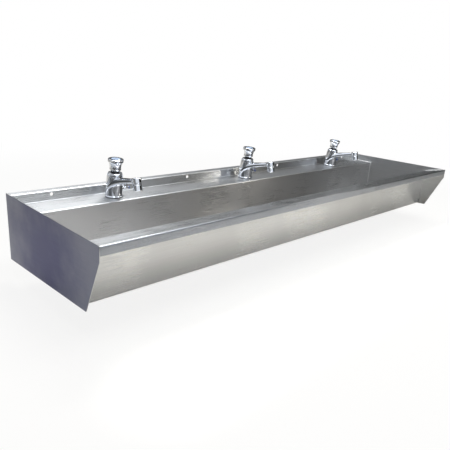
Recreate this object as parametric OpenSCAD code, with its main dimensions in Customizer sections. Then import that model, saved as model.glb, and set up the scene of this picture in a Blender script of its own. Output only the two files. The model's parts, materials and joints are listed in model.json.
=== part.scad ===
// Wall-hung stainless steel wash trough with three self-closing mixer taps.
// +Z is up, the user stands at -Y, and the wall is the plane y = 0.
// The origin is the middle of the four wall bolts, halfway up the end panels.

/* [Trough sheets] */
// Length along the wall
trough_l = 1800; // [1680:10:2400]
// Depth from the wall to the front lip
trough_d = 515; // [480:5:560]
// Height of the end panels at the wall
trough_h = 200; // [190:5:240]
// Thickness of the folded sheet
sheet_t = 1.5; // [1:0.1:2]
// Inside radius of a pressed bend
bend_r = 2.5; // [1.5:0.5:4]
// Inside radius along the bottom of the bowl
bowl_r = 6; // [3:1:12]
// Height of the upstand behind the taps
upstand_h = 30; // [26:1:40]
// Depth of the folded top of the upstand
upstand_d = 29; // [24:1:36]
// Depth of the tap ledge
ledge_d = 104; // [90:1:120]
// Distance of the weld between the two sheets behind the ledge's front edge
seam_back = 12; // [8:1:20]
// Depth of the front rim, from the lip to the bowl
rim_d = 93; // [70:1:110]
// Fall of the front rim towards the bowl
rim_drop = 20; // [10:1:30]
// Height of the front lip
lip_h = 25; // [16:1:32]
// Depth of the safe edge folded under the lip
lip_fold = 10; // [6:1:14]
// Fall of the bowl bottom towards the wall, in degrees
fall = 2.4; // [0.5:0.1:4]

/* [End panels] */
// Thickness of an end panel
panel_t = 1.5; // [1:0.1:3]
// Height of the upright front edge
panel_edge_h = 37; // [30:1:60]
// Distance of the lower tip behind the front lip
tip_back = 65; // [40:1:85]
// Radius of the lower tip
tip_r = 3; // [1:0.5:8]
// How far the panels reach below the bowl
panel_below = 1.5; // [0.5:0.5:6]

/* [Upstand screws] */
// Diameter of a screw hole
screw_d = 11; // [8:0.5:12]
// Distance between screw holes
screw_pitch = 520; // [400:10:540]
// Depth of the screw holes below the top edge
screw_drop = 11; // [9:0.5:14]

/* [Wall brackets] */
// Distance between the two brackets
bracket_pitch = 900; // [760:10:1080]
// Width of a bracket
bracket_w = 40; // [30:1:60]
// Thickness of a bracket's plates
bracket_t = 5; // [4:0.5:8]
// Gap between a wall plate and the tap ledge
bracket_gap = 6; // [2:1:10]
// Length of the arm from the wall
arm_l = 330; // [220:5:380]
// Distance between the two wall bolts of a bracket
bolt_pitch = 80; // [60:1:86]
// Diameter of a wall bolt hole
bolt_d = 10.5; // [8:0.5:12]
// Height of the two gussets in the corner
gusset_h = 100; // [60:1:120]
// Thickness of a gusset
gusset_t = 4; // [3:0.5:6]
// Diameter of the studs that hold the trough on its brackets
stud_d = 8; // [6:1:10]
// Distance of a stud from the wall
stud_y = 290; // [200:5:300]

/* [Waste outlet] */
// Distance of the waste from the back of the bowl
waste_back = 65; // [50:1:120]
// Diameter of the waste flange
flange_d = 70; // [64:1:85]
// Outside diameter of the waste tail, inch-and-a-half pipe thread
tail_d = 47.8; // [40:0.1:50]
// Wall of the waste tail
tail_wall = 3; // [2:0.5:4]
// Length of the tail under the bowl
tail_l = 62; // [45:1:90]
// Diameter of the waste hole in the bowl
waste_hole_d = 52; // [51:0.5:56]
// Thickness of the seal above the bowl
top_seal_t = 1.5; // [1:0.5:3]
// Thickness of the seal under the bowl
bottom_seal_t = 4; // [2:0.5:6]
// Diameter of a strainer hole
grate_hole_d = 4; // [3:0.1:4.6]
// Distance between rings of strainer holes
grate_row = 5; // [4.8:0.1:5.2]
// Thickness of the strainer
grate_t = 1.5; // [1:0.1:3]
// Width across flats of the waste nut
waste_nut_af = 62; // [56:1:75]
// Height of the waste nut
waste_nut_h = 11; // [8:1:16]

/* [Tap body] */
// Distance between taps
tap_pitch = 600; // [500:10:640]
// Diameter of the tap holes in the ledge
tap_hole_d = 35; // [34:0.5:38]
// Diameter of the foot of the tap
foot_d = 57; // [54:1:62]
// Width of the tap's column
waist_w = 50; // [48:0.5:52]
// Height of the head seat above the foot
head_z = 65; // [62:1:72]
// Distance of the head seat in front of the tap's centre
head_y = 5.5; // [4:0.5:8]
// Diameter of the collar in the head
head_d = 45; // [44:0.5:47]
// Forward lean of the push button, in degrees
lean = 6; // [3:0.5:8]
// Reach of the spout
reach = 125; // [112:1:140]
// Height of the top of the spout's round end above the foot
spout_z = 83; // [80:1:92]
// Rise of the spout at its end, in degrees
spout_rise = 13; // [8:1:18]
// Diameter of the round end of the spout
spout_d = 29; // [28:0.5:32]
// Height of the round end of the spout
spout_end_h = 17; // [15:0.5:20]

/* [Tap fittings] */
// Diameter of the nozzle
nozzle_d = 28; // [25:0.5:28]
// Length of the nozzle
nozzle_l = 22; // [16:0.5:26]
// Diameter of the water opening in the nozzle
nozzle_bore = 18; // [14:0.5:20]
// Thickness of the gasket under the tap
gasket_t = 1.5; // [1:0.5:3]
// Diameter of the threaded shank
shank_d = 33; // [30:0.5:33.5]
// Length of the shank under the tap
shank_l = 52; // [40:1:60]
// Diameter of a water inlet
inlet_d = 9; // [8:0.5:10]
// Distance between the two water inlets
inlet_pitch = 16; // [13:0.5:18]
// Depth of a water inlet
inlet_l = 15; // [10:1:20]
// Outside diameter of the washers under the ledge
washer_d = 52; // [46:1:58]
// Thickness of the rubber washer
rubber_t = 3; // [2:0.5:5]
// Thickness of the steel washer
steel_t = 2; // [1.5:0.5:3]
// Width across flats of the back nut
nut_af = 46; // [41:1:50]
// Height of the back nut
nut_h = 9; // [6:1:12]

/* [Push button] */
// Travel of the button
press = 8; // [5:0.5:8]
// Height of the collar above the head seat
collar_h = 12; // [9:0.5:12]
// Diameter of the neck that the button slides on
neck_d = 26; // [22:0.5:28]
// Height of the top of the neck above the head seat
neck_h = 24; // [22:0.5:26]
// Height of the button's lower edge above the head seat
button_z = 20.5; // [20.5:0.5:22]
// Height of the button
button_h = 35; // [32:0.5:42]
// Diameter of the button's top
button_d = 48; // [42:0.5:52]
// Diameter of the button's lower edge
button_base_d = 35; // [32:0.5:38]
// Diameter of the index disc
index_d = 27; // [20:0.5:30]
// Thickness of the index disc
index_t = 1.4; // [1:0.1:2]
// Diameter of the stem
stem_d = 8; // [6:0.5:9]
// Diameter of the cartridge inside the body
cartridge_d = 30; // [28:0.5:31]
// Depth of the cartridge in the body
cartridge_l = 30; // [28:0.5:32]
// Mean diameter of the return spring
spring_d = 15; // [12:0.5:18]
// Wire of the return spring
wire_d = 1.6; // [1:0.1:2]
// Turns of the return spring
spring_turns = 5; // [4:1:7]

/* [Mixing lever] */
// Height of the lever's axis above the foot
lever_z = 22; // [19:0.5:23]
// Diameter of the round boss on the body
boss_d = 18; // [16:0.5:22]
// Distance of the boss face from the tap's centre
boss_x = 29; // [28.5:0.5:32]
// Diameter of the lever's journal in the body
journal_d = 10; // [8:0.5:12]
// Depth of the journal in the body
journal_l = 16; // [12:0.5:17]
// Diameter of the lever's barrel
barrel_d = 9; // [8:0.5:10]
// Length of the barrel
barrel_l = 19; // [16:0.5:26]
// Diameter of the lever's hub
hub_d = 15; // [13:0.5:17]
// Thickness of the lever's hub
hub_t = 3; // [2:0.5:5]
// Length of the upright pin above the lever's axis
pin_l = 25; // [20:0.5:30]
// Diameter of the coloured cap
cap_d = 10.4; // [9.5:0.1:12]
// Thickness of the coloured cap
cap_t = 3; // [2:0.5:4]

/* [Hidden] */
$fn = 64;
// Steps in a pressed bend
bend_steps = 6;
// Points around the lofted tap body, and rings along its spout
loft_n = 40;
spout_steps = 14;
// Clearances: parts screwed or seated together, running shafts, and faces that pass each other
seat_gap = 0.1;
run_gap = 0.05;
pass_gap = 0.3;
skirt_gap = 0.5;
// Overlap that makes a cut or a joined form run through
eps = 0.5;

top_z = trough_h / 2;
ledge_z = top_z - upstand_h;
ledge_y = upstand_d + ledge_d;
seam_y = ledge_y - seam_back;
bowl_y = trough_d - rim_d;
inner_l = trough_l - 2 * panel_t;
tap_y = -(upstand_d + ledge_d / 2);
tap_xs = [-tap_pitch, 0, tap_pitch];
screw_xs = [for (i = [-1.5:1:1.5]) i * screw_pitch];
bracket_xs = [-bracket_pitch / 2, bracket_pitch / 2];

// Bracket fastenings: nut, washer, the thread that shows below the nut, and the play in the hole
stud_nut_af = 13;
stud_nut_h = 6.5;
stud_washer_d = 17;
stud_washer_t = 1.6;
stud_end = 3;
stud_play = 0.5;
stud_l = bracket_t + stud_washer_t + stud_nut_h + stud_end;
stud_hole_d = stud_d + 2 * stud_play;
// Gap between a gusset and the back of the bowl, and the blunt width of the gusset's points
gusset_gap = 3;
gusset_nose = 2;

// Waste: the flange's lip round the strainer, the strainer's seat, and the cross bar under it
waste_y = ledge_y + waste_back;
flange_lip = 2.5;
flange_edge = 1.5;
flange_rim = 6;
flange_top = sheet_t + top_seal_t;
grate_d = flange_d - 2 * flange_rim;
grate_z = flange_top + flange_lip - grate_t;
grate_rings = 3;
grate_first_r = 7.2;
grate_first_count = 8;
grate_ring_adds = 6;
grate_screw_d = 4;
grate_screw_l = 12;
screw_head_d = 9;
screw_head_h = 1.8;
screw_slot_w = 1.2;
screw_slot_h = 0.9;
bar_w = 8;
bar_t = 4;
bar_drop = 10;
bar_z = flange_top - bar_drop;
bar_boss = 1.5;
// Seals and flanged nut
seal_inset = 1.5;
waste_washer_rim = 4;
waste_nut_flange_t = 2;
waste_nut_flange_rim = 3;
// Run-out groove between the nut's thread and the trap's thread
thread_end = 5;
groove_w = 2;
groove_depth = 1;
groove_z = -bottom_seal_t - waste_nut_h - thread_end;

// Tap body: the wall round the collar, which stands higher at the back
head_wall = 2;
head_r = head_d / 2 + pass_gap + head_wall;
head_back_share = 0.7;
head_back_h = head_back_share * collar_h;
foot_edge = 0.6;
foot_band_h = 3;
// Curve of the column: its middle lies behind the foot's, so that its back is one line with the
// foot, and it leans forward to the head. Shares of the head's height and offset on the way
column_back = 1.5;
column_rise = [0.35, 0.7];
column_shift = 0.35;
column_depth = foot_d / 2 - foot_edge - column_back;
column_foot_z = foot_band_h + 1;
// Curve of the spout, at the soft edge under its flanks: it starts at the foot beside the column,
// rises by a share of the head's height, turns forward over a share of the reach, and ends below
// the middle of the round end
spout_root = 4;
spout_lift = 0.7;
spout_run = 0.6;
spout_edge_drop = 5;
spout_tip_inset = 2;
// Along that curve: half width, height of the flanks above the edge, bulge of the underside below
// it, and how square the flanks are, where 1 is an ellipse
spout_half_w = [foot_d / 2 - foot_edge, 31, 14, spout_d / 2 - spout_tip_inset];
spout_up = [22, 25, 13, 10];
spout_down = [2, 2, 5, 3];
spout_square = [1, 1, 0.8, 0.75];
spout_end_edge = 3;
// Spigots that join the shank and the nozzle to the body
spigot_d = 26;
spigot_l = 9;
nozzle_spigot_d = 22;
nozzle_spigot_l = 7;
// Nozzle: the groove under its top edge, and the counterbore that holds the aerator
nozzle_groove_z = 2;
nozzle_groove_w = 1.8;
nozzle_groove_d = 0.8;
nozzle_edge = 1.5;
aerator_wall = 1.5;
aerator_h = 4;
aerator_inset = 1;
aerator_pitch = 3.2;
aerator_slot = 2;
aerator_mesh_r = 2.6;
// Collar: a plain band with a groove and a rounded top
collar_band_end = 4;
collar_groove_w = 0.8;
collar_groove_d = 1.2;
collar_edge = 0.8;

// Button: how far its skirt and its spring chamber reach up inside it
stem_in = 16;
stem_socket = 6;
skirt_over = 1.5;
button_crown = 12;
chamber_gap = 2;
skirt_h = neck_h - button_z + press + skirt_over;
ceiling_h = button_h - button_crown;
chamber_d = spring_d + wire_d + 2 * chamber_gap;
button_edge = 0.8;
button_step_z = 3;
button_band_h = 9;
button_rim_r = 2.4;
// Curve of the button's side: radii past its lower edge, and shares of its height
button_waist = [0.4, -0.6, 1];
button_flare = [0.35, 0.55];
button_step = 0.5;
index_proud = 0.3;
index_edge = 0.6;
spring_sides = 6;
spring_steps = 16;

// Lever: the pin and the cap are pressed into it by spigots
pin_spigot_d = 5;
pin_share = 0.62;
pin_z = hub_t + barrel_l * pin_share;
cap_spigot_d = 4;
cap_spigot_l = 2.5;
lever_edge = 0.8;
tip_edge = 1;

// Height of the underside of the bowl at a distance y in front of the wall
function under_z(y) = -trough_h / 2 + panel_below + y * tan(fall);
bowl_z_back = under_z(ledge_y) + sheet_t / cos(fall);
bowl_z_front = under_z(bowl_y - sheet_t) + sheet_t / cos(fall);

// ---------- helpers ----------

function unit(v) = v / norm(v);
function left_of(v) = [-v[1], v[0]];
function turned(v, a) = [v[0] * cos(a) - v[1] * sin(a), v[0] * sin(a) + v[1] * cos(a)];
function reversed(list) = [for (i = [len(list) - 1:-1:0]) list[i]];

// The arc at corner b of a folded sheet, on the face that lies off to the left of the show face
function bend(a, b, c, r_in, t, off) =
    let (
        u = unit(b - a),
        w = unit(c - b),
        turn = atan2(u[0] * w[1] - u[1] * w[0], u * w),
        side = sign(turn),
        r_show = side > 0 ? r_in + t : r_in,
        start = b - u * r_show * tan(abs(turn) / 2),
        centre = start + left_of(u) * r_show * side,
        r = r_show - side * off
    )
    [for (i = [0:bend_steps]) centre - left_of(turned(u, turn * i / bend_steps)) * r * side];

// One face of a folded sheet whose show face has the given corners and inside bend radii
function sheet_face(path, radii, t, off) =
    let (last = len(path) - 1)
    concat(
        [path[0] + left_of(unit(path[1] - path[0])) * off],
        [for (i = [1:last - 1]) each bend(path[i - 1], path[i], path[i + 1], radii[i - 1], t, off)],
        [path[last] + left_of(unit(path[last] - path[last - 1])) * off]
    );

module folded_section(path, radii, t) {
    polygon(concat(sheet_face(path, radii, t, 0), reversed(sheet_face(path, radii, t, t))));
}

// Extrudes a section drawn in [y, z] along X, centred
module along_x(length) {
    rotate([90, 0, 90])
        linear_extrude(length, center = true) children();
}

// Moves children to the underside of the bowl, square to its fall, y in front of the wall
module on_bowl(x, y) {
    translate([x, -y, under_z(y)])
        rotate([-fall, 0, 0]) children();
}

// A six-sided nut body, across flats af
module hex(af, h) {
    cylinder(d = af / cos(30), h = h, $fn = 6);
}

// A ring of a loft: an ellipse of half width a and half depth b, square to a path at
// elevation e in the plane x = 0, centred y in front of the tap's axis and z above the foot
function ring(y, z, e, a, b) =
    [for (i = [0:loft_n - 1])
        let (t = 360 * i / loft_n)
        [a * cos(t), -y + b * sin(t) * sin(e), z + b * sin(t) * cos(e)]];

// A ring of the spout, drawn from the edge under its flanks: half width a, flanks that rise by up,
// and an underside that bulges by down
function flank_ring(y, z, e, a, up, down, square) =
    [for (i = [0:loft_n - 1])
        let (
            t = 360 * i / loft_n,
            b = sin(t) > 0 ? up * pow(sin(t), square) : down * sin(t)
        )
        [a * sign(cos(t)) * pow(abs(cos(t)), square), -y + b * sin(e), z + b * cos(e)]];

// A closed skin over a list of rings
module loft(rings) {
    n = loft_n;
    last = len(rings) - 1;
    points = [for (r = rings) each r];
    sides = [for (k = [0:last - 1], i = [0:n - 1])
        let (j = (i + 1) % n)
        each [
            [k * n + i, (k + 1) * n + i, (k + 1) * n + j],
            [k * n + i, (k + 1) * n + j, k * n + j]
        ]];
    caps = [
        [for (i = [0:n - 1]) i],
        [for (i = [n - 1:-1:0]) last * n + i]
    ];
    polyhedron(points, concat(caps, sides), convexity = 6);
}

// Bezier curve through four control values
function bezier(p, t) =
    pow(1 - t, 3) * p[0] + 3 * pow(1 - t, 2) * t * p[1] + 3 * (1 - t) * t * t * p[2] + pow(t, 3) * p[3];
function bezier_slope(p, t) =
    3 * pow(1 - t, 2) * (p[1] - p[0]) + 6 * (1 - t) * t * (p[2] - p[1]) + 3 * t * t * (p[3] - p[2]);

// ---------- trough ----------

// Show-face corners of the ledge sheet, as [y, z]: the wall, the upstand's top and foot, the weld
ledge_path = [
    [0, top_z],
    [-upstand_d, top_z],
    [-upstand_d, ledge_z],
    [-seam_y, ledge_z]
];

// Show-face corners of the bowl sheet, from the weld through bowl, rim and lip to the safe edge
bowl_path = [
    [-seam_y, ledge_z],
    [-ledge_y, ledge_z],
    [-ledge_y, bowl_z_back],
    [-bowl_y + sheet_t, bowl_z_front],
    [-bowl_y + sheet_t, top_z - rim_drop],
    [-trough_d, top_z],
    [-trough_d, top_z - lip_h],
    [-trough_d + lip_fold, top_z - lip_h]
];

module tap_ledge() {
    color("lightsteelblue")
    difference() {
        along_x(inner_l)
            folded_section(ledge_path, [bend_r, bend_r], sheet_t);
        for (x = screw_xs)
            translate([x, -upstand_d - eps, top_z - screw_drop])
                rotate([-90, 0, 0]) cylinder(d = screw_d, h = sheet_t + 2 * eps);
        for (x = tap_xs)
            translate([x, tap_y, ledge_z - sheet_t - eps])
                cylinder(d = tap_hole_d, h = sheet_t + 2 * eps);
    }
}

module bowl() {
    color("lightsteelblue")
    difference() {
        along_x(inner_l)
            folded_section(bowl_path, [bend_r, bowl_r, bowl_r, bend_r, bend_r, bend_r], sheet_t);
        on_bowl(0, waste_y)
            translate([0, 0, -eps]) cylinder(d = waste_hole_d, h = sheet_t + 2 * eps);
    }
}

// Side view of an end panel, as [y, z], with its lower tip rounded
module panel_outline() {
    low = -trough_h / 2;
    tip = [-trough_d + tip_back, low + (trough_d - tip_back) * tan(fall)];
    edge = [-trough_d, top_z - panel_edge_h];
    polygon(concat(
        [[0, top_z], [-trough_d, top_z], edge],
        bend(edge, tip, [0, low], tip_r, 0, 0),
        [[0, low]]
    ));
}

module end_panel(side) {
    color("slategray")
    translate([side * (trough_l - panel_t) / 2, 0, 0])
        along_x(panel_t) panel_outline();
}

// ---------- wall brackets ----------

module wall_bracket(x) {
    plate_z = under_z(0) - bracket_t;
    plate_top = ledge_z - sheet_t - bracket_gap;
    gusset_front = -ledge_y + sheet_t + gusset_gap;
    color("gainsboro")
    difference() {
        union() {
            // Wall plate
            translate([x - bracket_w / 2, -bracket_t, plate_z])
                cube([bracket_w, bracket_t, plate_top - plate_z]);
            // Arm along the underside of the bowl
            translate([x, 0, 0])
                along_x(bracket_w)
                    polygon([
                        [0, under_z(0)], [-arm_l, under_z(arm_l)],
                        [-arm_l, under_z(arm_l) - bracket_t], [0, under_z(0) - bracket_t]
                    ]);
            // Gussets on both edges, in the corner behind the bowl
            for (side = [-1, 1])
                translate([x + side * (bracket_w - gusset_t) / 2, 0, 0])
                    along_x(gusset_t)
                        polygon([
                            [-bracket_t + eps, under_z(0) + gusset_h],
                            [-bracket_t - gusset_nose, under_z(0) + gusset_h],
                            [gusset_front, under_z(-gusset_front) + gusset_nose],
                            [gusset_front, under_z(-gusset_front) - eps],
                            [-bracket_t + eps, under_z(0) - eps]
                        ]);
        }
        for (side = [-1, 1])
            translate([x, eps, side * bolt_pitch / 2])
                rotate([90, 0, 0]) cylinder(d = bolt_d, h = bracket_t + 2 * eps);
        on_bowl(x, stud_y)
            translate([0, 0, -bracket_t - eps]) cylinder(d = stud_hole_d, h = bracket_t + 2 * eps);
    }
}

module bracket_studs() {
    color("silver")
    for (x = bracket_xs)
        on_bowl(x, stud_y)
            translate([0, 0, -stud_l]) cylinder(d = stud_d, h = stud_l);
}

module bracket_washers() {
    color("silver")
    for (x = bracket_xs)
        on_bowl(x, stud_y)
            translate([0, 0, -bracket_t - stud_washer_t])
                difference() {
                    cylinder(d = stud_washer_d, h = stud_washer_t);
                    translate([0, 0, -eps])
                        cylinder(d = stud_d + 2 * seat_gap, h = stud_washer_t + 2 * eps);
                }
}

module bracket_nuts() {
    color("silver")
    for (x = bracket_xs)
        on_bowl(x, stud_y)
            translate([0, 0, -bracket_t - stud_washer_t - stud_nut_h])
                difference() {
                    hex(stud_nut_af, stud_nut_h);
                    translate([0, 0, -eps]) cylinder(d = stud_d + 2 * seat_gap, h = stud_nut_h + 2 * eps);
                }
}

// ---------- waste outlet ----------

module waste_body() {
    bore = tail_d - 2 * tail_wall;
    dish_r = grate_d / 2 + seat_gap;
    color("silver")
    on_bowl(0, waste_y)
        difference() {
            union() {
                rotate_extrude()
                    polygon([
                        [bore / 2, -tail_l], [tail_d / 2, -tail_l],
                        [tail_d / 2, groove_z - groove_w],
                        [tail_d / 2 - groove_depth, groove_z - groove_w],
                        [tail_d / 2 - groove_depth, groove_z], [tail_d / 2, groove_z],
                        [tail_d / 2, flange_top],
                        [flange_d / 2, flange_top], [flange_d / 2, flange_top + flange_edge / 2],
                        [flange_d / 2 - flange_edge, flange_top + flange_lip],
                        [dish_r, flange_top + flange_lip], [dish_r, grate_z], [bore / 2, grate_z]
                    ]);
                // Cross bar that takes the grate screw
                translate([-bore / 2 - eps, -bar_w / 2, bar_z])
                    cube([bore + 2 * eps, bar_w, bar_t]);
                translate([0, 0, bar_z]) cylinder(d = bar_w + 2 * bar_boss, h = grate_z - bar_z);
            }
            translate([0, 0, bar_z - eps])
                cylinder(d = grate_screw_d + 2 * seat_gap, h = grate_z - bar_z + 2 * eps);
        }
}

module waste_grate() {
    color("silver")
    on_bowl(0, waste_y)
        translate([0, 0, grate_z])
            difference() {
                cylinder(d = grate_d, h = grate_t);
                translate([0, 0, -eps]) cylinder(d = grate_screw_d + 2 * pass_gap, h = grate_t + 2 * eps);
                for (row = [0:grate_rings - 1])
                    let (count = grate_first_count + grate_ring_adds * row)
                    for (i = [0:count - 1])
                        rotate([0, 0, 360 * i / count])
                            translate([grate_first_r + grate_row * row, 0, -eps])
                                cylinder(d = grate_hole_d, h = grate_t + 2 * eps);
            }
}

module grate_screw() {
    color("gray")
    on_bowl(0, waste_y)
        translate([0, 0, flange_top + flange_lip])
            difference() {
                union() {
                    rotate_extrude()
                        polygon([
                            [0, 0], [screw_head_d / 2, 0],
                            [screw_head_d / 2 - screw_slot_h, screw_slot_h], [0, screw_head_h]
                        ]);
                    translate([0, 0, -grate_screw_l]) cylinder(d = grate_screw_d, h = grate_screw_l + eps);
                }
                translate([-screw_head_d, -screw_slot_w / 2, screw_slot_h])
                    cube([2 * screw_head_d, screw_slot_w, screw_head_h]);
            }
}

module waste_top_seal() {
    color("dimgray")
    on_bowl(0, waste_y)
        translate([0, 0, sheet_t])
            difference() {
                cylinder(d = flange_d - 2 * seal_inset, h = top_seal_t);
                translate([0, 0, -eps]) cylinder(d = tail_d + 2 * seat_gap, h = top_seal_t + 2 * eps);
            }
}

module waste_bottom_seal() {
    color("dimgray")
    on_bowl(0, waste_y)
        translate([0, 0, -bottom_seal_t])
            difference() {
                cylinder(d = waste_nut_af + 2 * waste_washer_rim, h = bottom_seal_t);
                translate([0, 0, -eps]) cylinder(d = tail_d + 2 * seat_gap, h = bottom_seal_t + 2 * eps);
            }
}

module waste_nut() {
    color("gold")
    on_bowl(0, waste_y)
        translate([0, 0, -bottom_seal_t - waste_nut_h])
            difference() {
                union() {
                    hex(waste_nut_af, waste_nut_h);
                    translate([0, 0, waste_nut_h - waste_nut_flange_t])
                        cylinder(d = waste_nut_af + 2 * waste_nut_flange_rim, h = waste_nut_flange_t);
                }
                translate([0, 0, -eps]) cylinder(d = tail_d + 2 * seat_gap, h = waste_nut_h + 2 * eps);
            }
}

// ---------- taps ----------

// Moves children to a tap: its foot's centre on the ledge's gasket
module at_tap(x) {
    translate([x, tap_y, ledge_z + gasket_t]) children();
}

// Moves children to a tap's head seat, with z along the push button's axis
module at_head(x) {
    at_tap(x)
        translate([0, -head_y, head_z])
            rotate([lean, 0, 0]) children();
}

// Moves children to the lower face of the spout's round end, with z along its axis
module at_spout_end(x) {
    at_tap(x)
        translate([0, -reach, spout_z - spout_end_h / 2])
            rotate([-spout_rise, 0, 0])
                translate([0, 0, -spout_end_h / 2]) children();
}

module tap_body(x) {
    half = waist_w / 2;
    // The column: foot, straight shaft, and the head's wall that stands up round the collar
    column = concat(
        [
            ring(0, 0, 90, foot_d / 2 - foot_edge, foot_d / 2 - foot_edge),
            ring(0, foot_edge, 90, foot_d / 2, foot_d / 2),
            ring(0, foot_band_h, 90, foot_d / 2, foot_d / 2)
        ],
        [for (t = [0:0.125:1])
            ring(
                bezier([-column_back, -column_back, head_y * column_shift, head_y], t),
                bezier(concat(column_foot_z, head_z * column_rise, head_z), t),
                bezier([90, 90, 90 - lean, 90 - lean], t),
                bezier([half, half, half, head_r], t),
                bezier([column_depth, column_depth, column_depth, head_r], t)
            )],
        [ring(
            head_y + head_back_h * sin(lean), head_z + head_back_h * cos(lean),
            90 - lean, head_r - foot_edge, head_r - foot_edge
        )]
    );
    // The spout: its flanks rise from the foot and sweep forward into the round end
    end_z = spout_z - spout_end_h / 2 - spout_edge_drop;
    run = spout_run * reach;
    py = [-spout_root, -spout_root, reach - run * cos(spout_rise), reach];
    pz = [foot_edge, head_z * spout_lift, end_z - run * sin(spout_rise), end_z];
    spout = [for (i = [0:spout_steps])
        let (t = i / spout_steps)
        flank_ring(
            bezier(py, t),
            bezier(pz, t),
            atan2(bezier_slope(pz, t), bezier_slope(py, t)),
            bezier(spout_half_w, t),
            bezier(spout_up, t),
            bezier(spout_down, t),
            bezier(spout_square, t)
        )];
    end_r = spout_d / 2;
    color("whitesmoke")
    difference() {
        union() {
            at_tap(x) {
                loft(column);
                loft(spout);
                translate([0, 0, lever_z])
                    rotate([0, 90, 0]) cylinder(d = boss_d, h = boss_x);
            }
            at_spout_end(x)
                rotate_extrude()
                    polygon([
                        [0, 0], [end_r, 0], [end_r, spout_end_h - spout_end_edge],
                        [end_r - spout_end_edge / 3, spout_end_h - spout_end_edge / 3],
                        [end_r - spout_end_edge, spout_end_h], [0, spout_end_h + foot_edge]
                    ]);
        }
        // Slanted top of the wall, level with the seat at the front and high at the back
        at_head(x)
            translate([0, 0, head_back_h / 2])
                rotate([atan2(head_back_h, 2 * head_r), 0, 0])
                    cylinder(r = head_r + 2 * eps, h = collar_h);
        // Seat for the collar, and the socket for the cartridge under it
        at_head(x)
            cylinder(d = head_d + 2 * pass_gap, h = 2 * collar_h);
        at_head(x)
            translate([0, 0, -cartridge_l - seat_gap])
                cylinder(d = cartridge_d + 2 * seat_gap, h = cartridge_l + collar_h);
        // Bore for the mixing lever's journal
        at_tap(x)
            translate([boss_x - journal_l - pass_gap, 0, lever_z])
                rotate([0, 90, 0]) cylinder(d = journal_d + 2 * run_gap, h = 2 * journal_l);
        // Socket for the shank
        at_tap(x)
            translate([0, 0, -eps])
                cylinder(d = spigot_d + 2 * seat_gap, h = spigot_l + eps + seat_gap);
        // Socket for the nozzle
        at_spout_end(x)
            translate([0, 0, -eps])
                cylinder(d = nozzle_spigot_d + 2 * seat_gap, h = nozzle_spigot_l + seat_gap + eps);
    }
}

module tap_gasket(x) {
    color("dimgray")
    translate([x, tap_y, ledge_z])
        difference() {
            cylinder(d = foot_d - 2 * seal_inset, h = gasket_t);
            translate([0, 0, -eps]) cylinder(d = shank_d + 2 * seat_gap, h = gasket_t + 2 * eps);
        }
}

module tap_shank(x) {
    color("goldenrod")
    at_tap(x)
        difference() {
            union() {
                translate([0, 0, -shank_l]) cylinder(d = shank_d, h = shank_l);
                cylinder(d = spigot_d, h = spigot_l);
            }
            for (side = [-1, 1])
                translate([side * inlet_pitch / 2, 0, -shank_l - eps])
                    cylinder(d = inlet_d, h = inlet_l + eps);
        }
}

// A washer hanging below the ledge, its top a distance down from the ledge's underside
module ledge_washer(x, down, t) {
    translate([x, tap_y, ledge_z - sheet_t - down - t])
        difference() {
            cylinder(d = washer_d, h = t);
            translate([0, 0, -eps]) cylinder(d = shank_d + 2 * seat_gap, h = t + 2 * eps);
        }
}

module tap_rubber_washers() {
    color("dimgray")
    for (x = tap_xs) ledge_washer(x, 0, rubber_t);
}

module tap_steel_washers() {
    color("silver")
    for (x = tap_xs) ledge_washer(x, rubber_t, steel_t);
}

module tap_back_nuts() {
    color("goldenrod")
    for (x = tap_xs)
        translate([x, tap_y, ledge_z - sheet_t - rubber_t - steel_t - nut_h])
            difference() {
                hex(nut_af, nut_h);
                translate([0, 0, -eps]) cylinder(d = shank_d + 2 * seat_gap, h = nut_h + 2 * eps);
            }
}

module nozzle(x) {
    r = nozzle_d / 2;
    groove_r = r - nozzle_groove_d;
    bore_r = nozzle_bore / 2;
    color("whitesmoke")
    at_spout_end(x)
        rotate_extrude()
            polygon([
                [bore_r, nozzle_spigot_l], [nozzle_spigot_d / 2, nozzle_spigot_l],
                [nozzle_spigot_d / 2, 0], [r, 0], [r, -nozzle_groove_z],
                [groove_r, -nozzle_groove_z - nozzle_groove_d / 2],
                [groove_r, -nozzle_groove_z - nozzle_groove_w], [r, -nozzle_groove_z - 2 * nozzle_groove_w],
                [r, -nozzle_l + nozzle_edge], [r - nozzle_edge, -nozzle_l],
                [bore_r + aerator_wall, -nozzle_l],
                [bore_r + aerator_wall, -nozzle_l + aerator_inset + aerator_h],
                [bore_r, -nozzle_l + aerator_inset + aerator_h]
            ]);
}

module aerator(x) {
    color("silver")
    at_spout_end(x)
        translate([0, 0, -nozzle_l + aerator_inset])
            difference() {
                cylinder(d = nozzle_bore + 2 * (aerator_wall - seat_gap), h = aerator_h - seat_gap);
                for (i = [-2:2])
                    for (j = [-2:2])
                        if (norm([i, j]) < aerator_mesh_r)
                            translate([i * aerator_pitch, j * aerator_pitch, aerator_h / 2])
                                cube([aerator_slot, aerator_slot, 2 * aerator_h], center = true);
            }
}

module cartridge(x) {
    color("dimgray")
    at_head(x)
        difference() {
            union() {
                translate([0, 0, -cartridge_l]) cylinder(d = cartridge_d, h = cartridge_l);
                cylinder(d = neck_d, h = neck_h);
            }
            translate([0, 0, -stem_in - press - eps])
                cylinder(d = stem_d + 2 * run_gap, h = stem_in + press + neck_h + 2 * eps);
        }
}

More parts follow.
